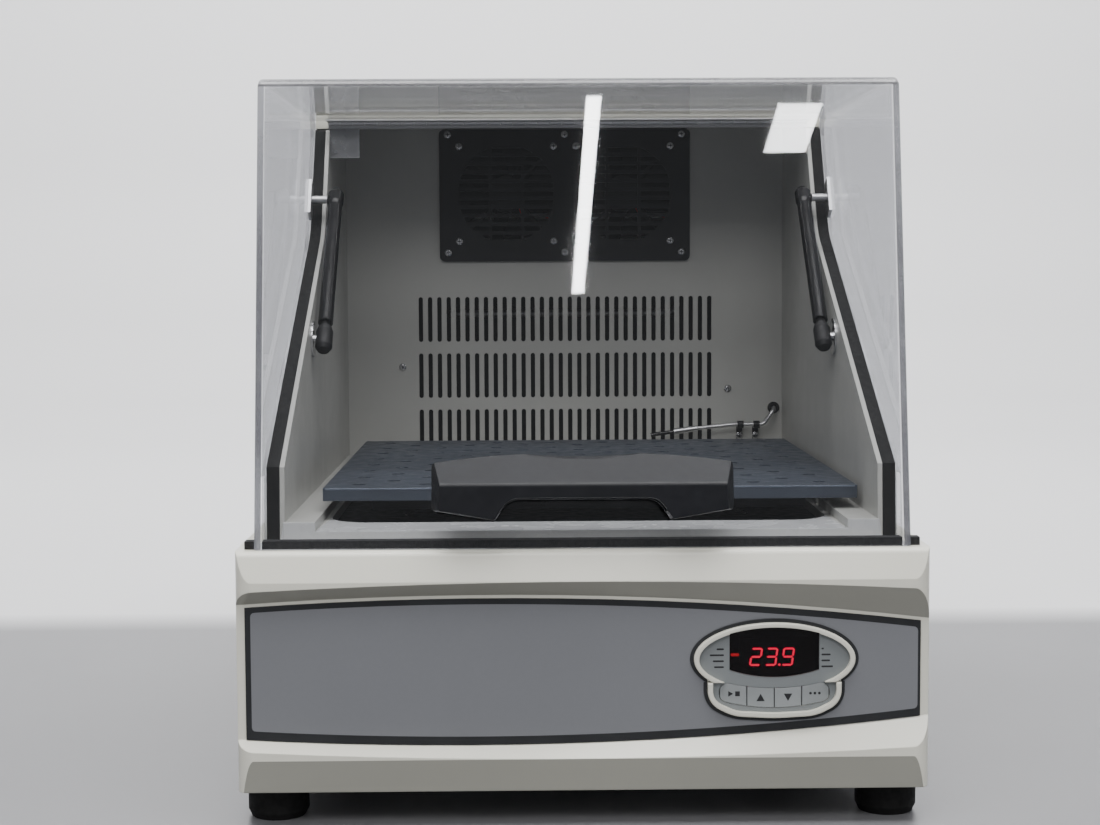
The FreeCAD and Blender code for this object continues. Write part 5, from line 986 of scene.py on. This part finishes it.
inner, outer = LID_HALF - LID_SHEET, LID_HALF - SIDE_MARGIN
bands = [front_strip(inner, outer, FRONT_LOW, FRONT_HIGH),
         front_strip(-outer, -inner, FRONT_LOW, FRONT_HIGH)]
attach("lid_side_bands", merged(bands, "lid_side_bands"), "lid_band", "lid")
bend_line = front_strip(BEND_MARGIN - LID_HALF, LID_HALF - BEND_MARGIN, *BEND_LINE)
attach("lid_bend_line", finished(bend_line, "lid_bend_line"), "lid_bend", "lid")


# The studio, in metres.

CAMERA_PLACE = Vector((-0.0473, -1.8709, 0.446))
CAMERA_YAW = -0.01396
CAMERA_PITCH = -0.0732
CAMERA_ROLL = 0.005
FOCAL_PIXELS = 1898.0
PHOTO_WIDTH = 1100.0
SENSOR_WIDTH = 36.0
CLIP_START, CLIP_END = 0.05, 60.0
BACKDROP_PROFILE = ((-6.0, 0.0), (3.2, 0.0), (3.7, 0.06), (4.1, 0.30), (4.3, 0.8), (4.35, 6.0))
BACKDROP_HALF_WIDTH = 7.0
FLOOR_DARK, FLOOR_LIGHT = (0.17, 0.17, 0.18), (0.19, 0.19, 0.20)
FLOOR_ROUGHNESS = 0.34
WALL_COLOUR = (0.78, 0.78, 0.79)
WALL_ROUGHNESS = 0.6
WALL_START, WALL_END = 0.50, 0.62
ROOM_COLOUR = (0.90, 0.92, 0.96, 1.0)
ROOM_BANDS = {"From Min": -0.8, "From Max": 0.2, "To Min": 0.22, "To Max": 0.46}
# Each light's place, the place it faces, its two sizes and its watts.
LIGHTS = {
    "key": ((-0.4, -3.4, 2.9), (0, 0, 0.35), (3.4, 1.2), 86.0),
    "overhead": ((0.1, -0.9, 2.7), (0, -0.1, 0.3), (2.6, 1.3), 102.0),
    "wall_wash": ((0.0, 1.6, 3.6), (0, 4.3, 1.2), (6.0, 0.8), 300.0),
    "fill": ((2.6, -1.6, 1.6), (0, 0, 0.3), (1.2, 1.2), 8.0),
    "ceiling_tube": ((0.195, -5.75, 2.62), (0.195, -5.75, 0.0), (0.05, 2.05), 22.0),
    "ceiling_panel": ((0.90, -5.0, 2.62), (0.90, -5.0, 0.0), (0.15, 0.42), 7.0),
}


def make_camera():
    lens = bpy.data.cameras.new("photo_camera")
    lens.sensor_width = SENSOR_WIDTH
    lens.lens = FOCAL_PIXELS / PHOTO_WIDTH * SENSOR_WIDTH
    lens.clip_start = CLIP_START
    lens.clip_end = CLIP_END
    camera = bpy.data.objects.new("photo_camera", lens)
    scene.collection.objects.link(camera)
    turn = (Matrix.Rotation(CAMERA_YAW, 4, "Z") @ Matrix.Rotation(CAMERA_PITCH, 4, "X")
            @ Matrix.Rotation(CAMERA_ROLL, 4, "Y") @ Matrix.Rotation(math.pi / 2, 4, "X"))
    camera.matrix_world = Matrix.Translation(CAMERA_PLACE) @ turn
    scene.camera = camera


def make_backdrop():
    """One sheet that is a grey floor near the object and a pale wall behind it."""
    mesh = bpy.data.meshes.new("backdrop")
    sides = (-BACKDROP_HALF_WIDTH, BACKDROP_HALF_WIDTH)
    points = [(x, y, z) for y, z in BACKDROP_PROFILE for x in sides]
    rows = range(len(BACKDROP_PROFILE) - 1)
    mesh.from_pydata(points, [], [(2 * i, 2 * i + 1, 2 * i + 3, 2 * i + 2) for i in rows])
    mesh.shade_smooth()
    sweep = bpy.data.objects.new("backdrop", mesh)
    scene.collection.objects.link(sweep)
    paper = Shader("backdrop_paper", WALL_COLOUR, WALL_ROUGHNESS)
    split = paper.node("ShaderNodeSeparateXYZ")
    paper.link(paper.places, split.inputs["Vector"])
    far = paper.spread(split.outputs["Y"], WALL_START, WALL_END, 0.0, 1.0)
    grain = paper.spread(paper.noise(2.0), 0.3, 0.7, 0.0, 1.0)
    floor = paper.mix(grain, FLOOR_DARK, FLOOR_LIGHT)
    paper.paint(paper.mix(far, floor, WALL_COLOUR))
    paper.bump(300.0, 0.00005)
    shine = paper.spread(split.outputs["Y"], WALL_START, WALL_END, FLOOR_ROUGHNESS, WALL_ROUGHNESS)
    paper.link(shine, paper.main.inputs["Roughness"])
    paper.set(Specular_IOR_Level=0.8)
    mesh.materials.append(paper.material)


def make_room():
    """Soft light from all round, paler toward the wall than behind the camera."""
    world = bpy.data.worlds.new("soft_room")
    scene.world = world
    world.use_nodes = True
    tree = world.node_tree
    background = next(node for node in tree.nodes if node.type == "BACKGROUND")
    background.inputs["Color"].default_value = ROOM_COLOUR
    direction = tree.nodes.new("ShaderNodeTexCoord")
    parts = tree.nodes.new("ShaderNodeSeparateXYZ")
    paler = tree.nodes.new("ShaderNodeMapRange")
    for socket, value in ROOM_BANDS.items():
        paler.inputs[socket].default_value = value
    tree.links.new(direction.outputs["Generated"], parts.inputs["Vector"])
    tree.links.new(parts.outputs["Y"], paler.inputs["Value"])
    tree.links.new(paler.outputs["Result"], background.inputs["Strength"])


def make_light(name, place, target, size, power):
    data = bpy.data.lights.new(name, "AREA")
    data.shape = "RECTANGLE"
    data.size, data.size_y = size
    data.energy = power
    light = bpy.data.objects.new(name, data)
    scene.collection.objects.link(light)
    light.location = place
    light.rotation_euler = (Vector(target) - Vector(place)).to_track_quat("-Z", "Y").to_euler()


make_camera()
make_backdrop()
make_room()
for light_name, values in LIGHTS.items():
    make_light(light_name, *values)
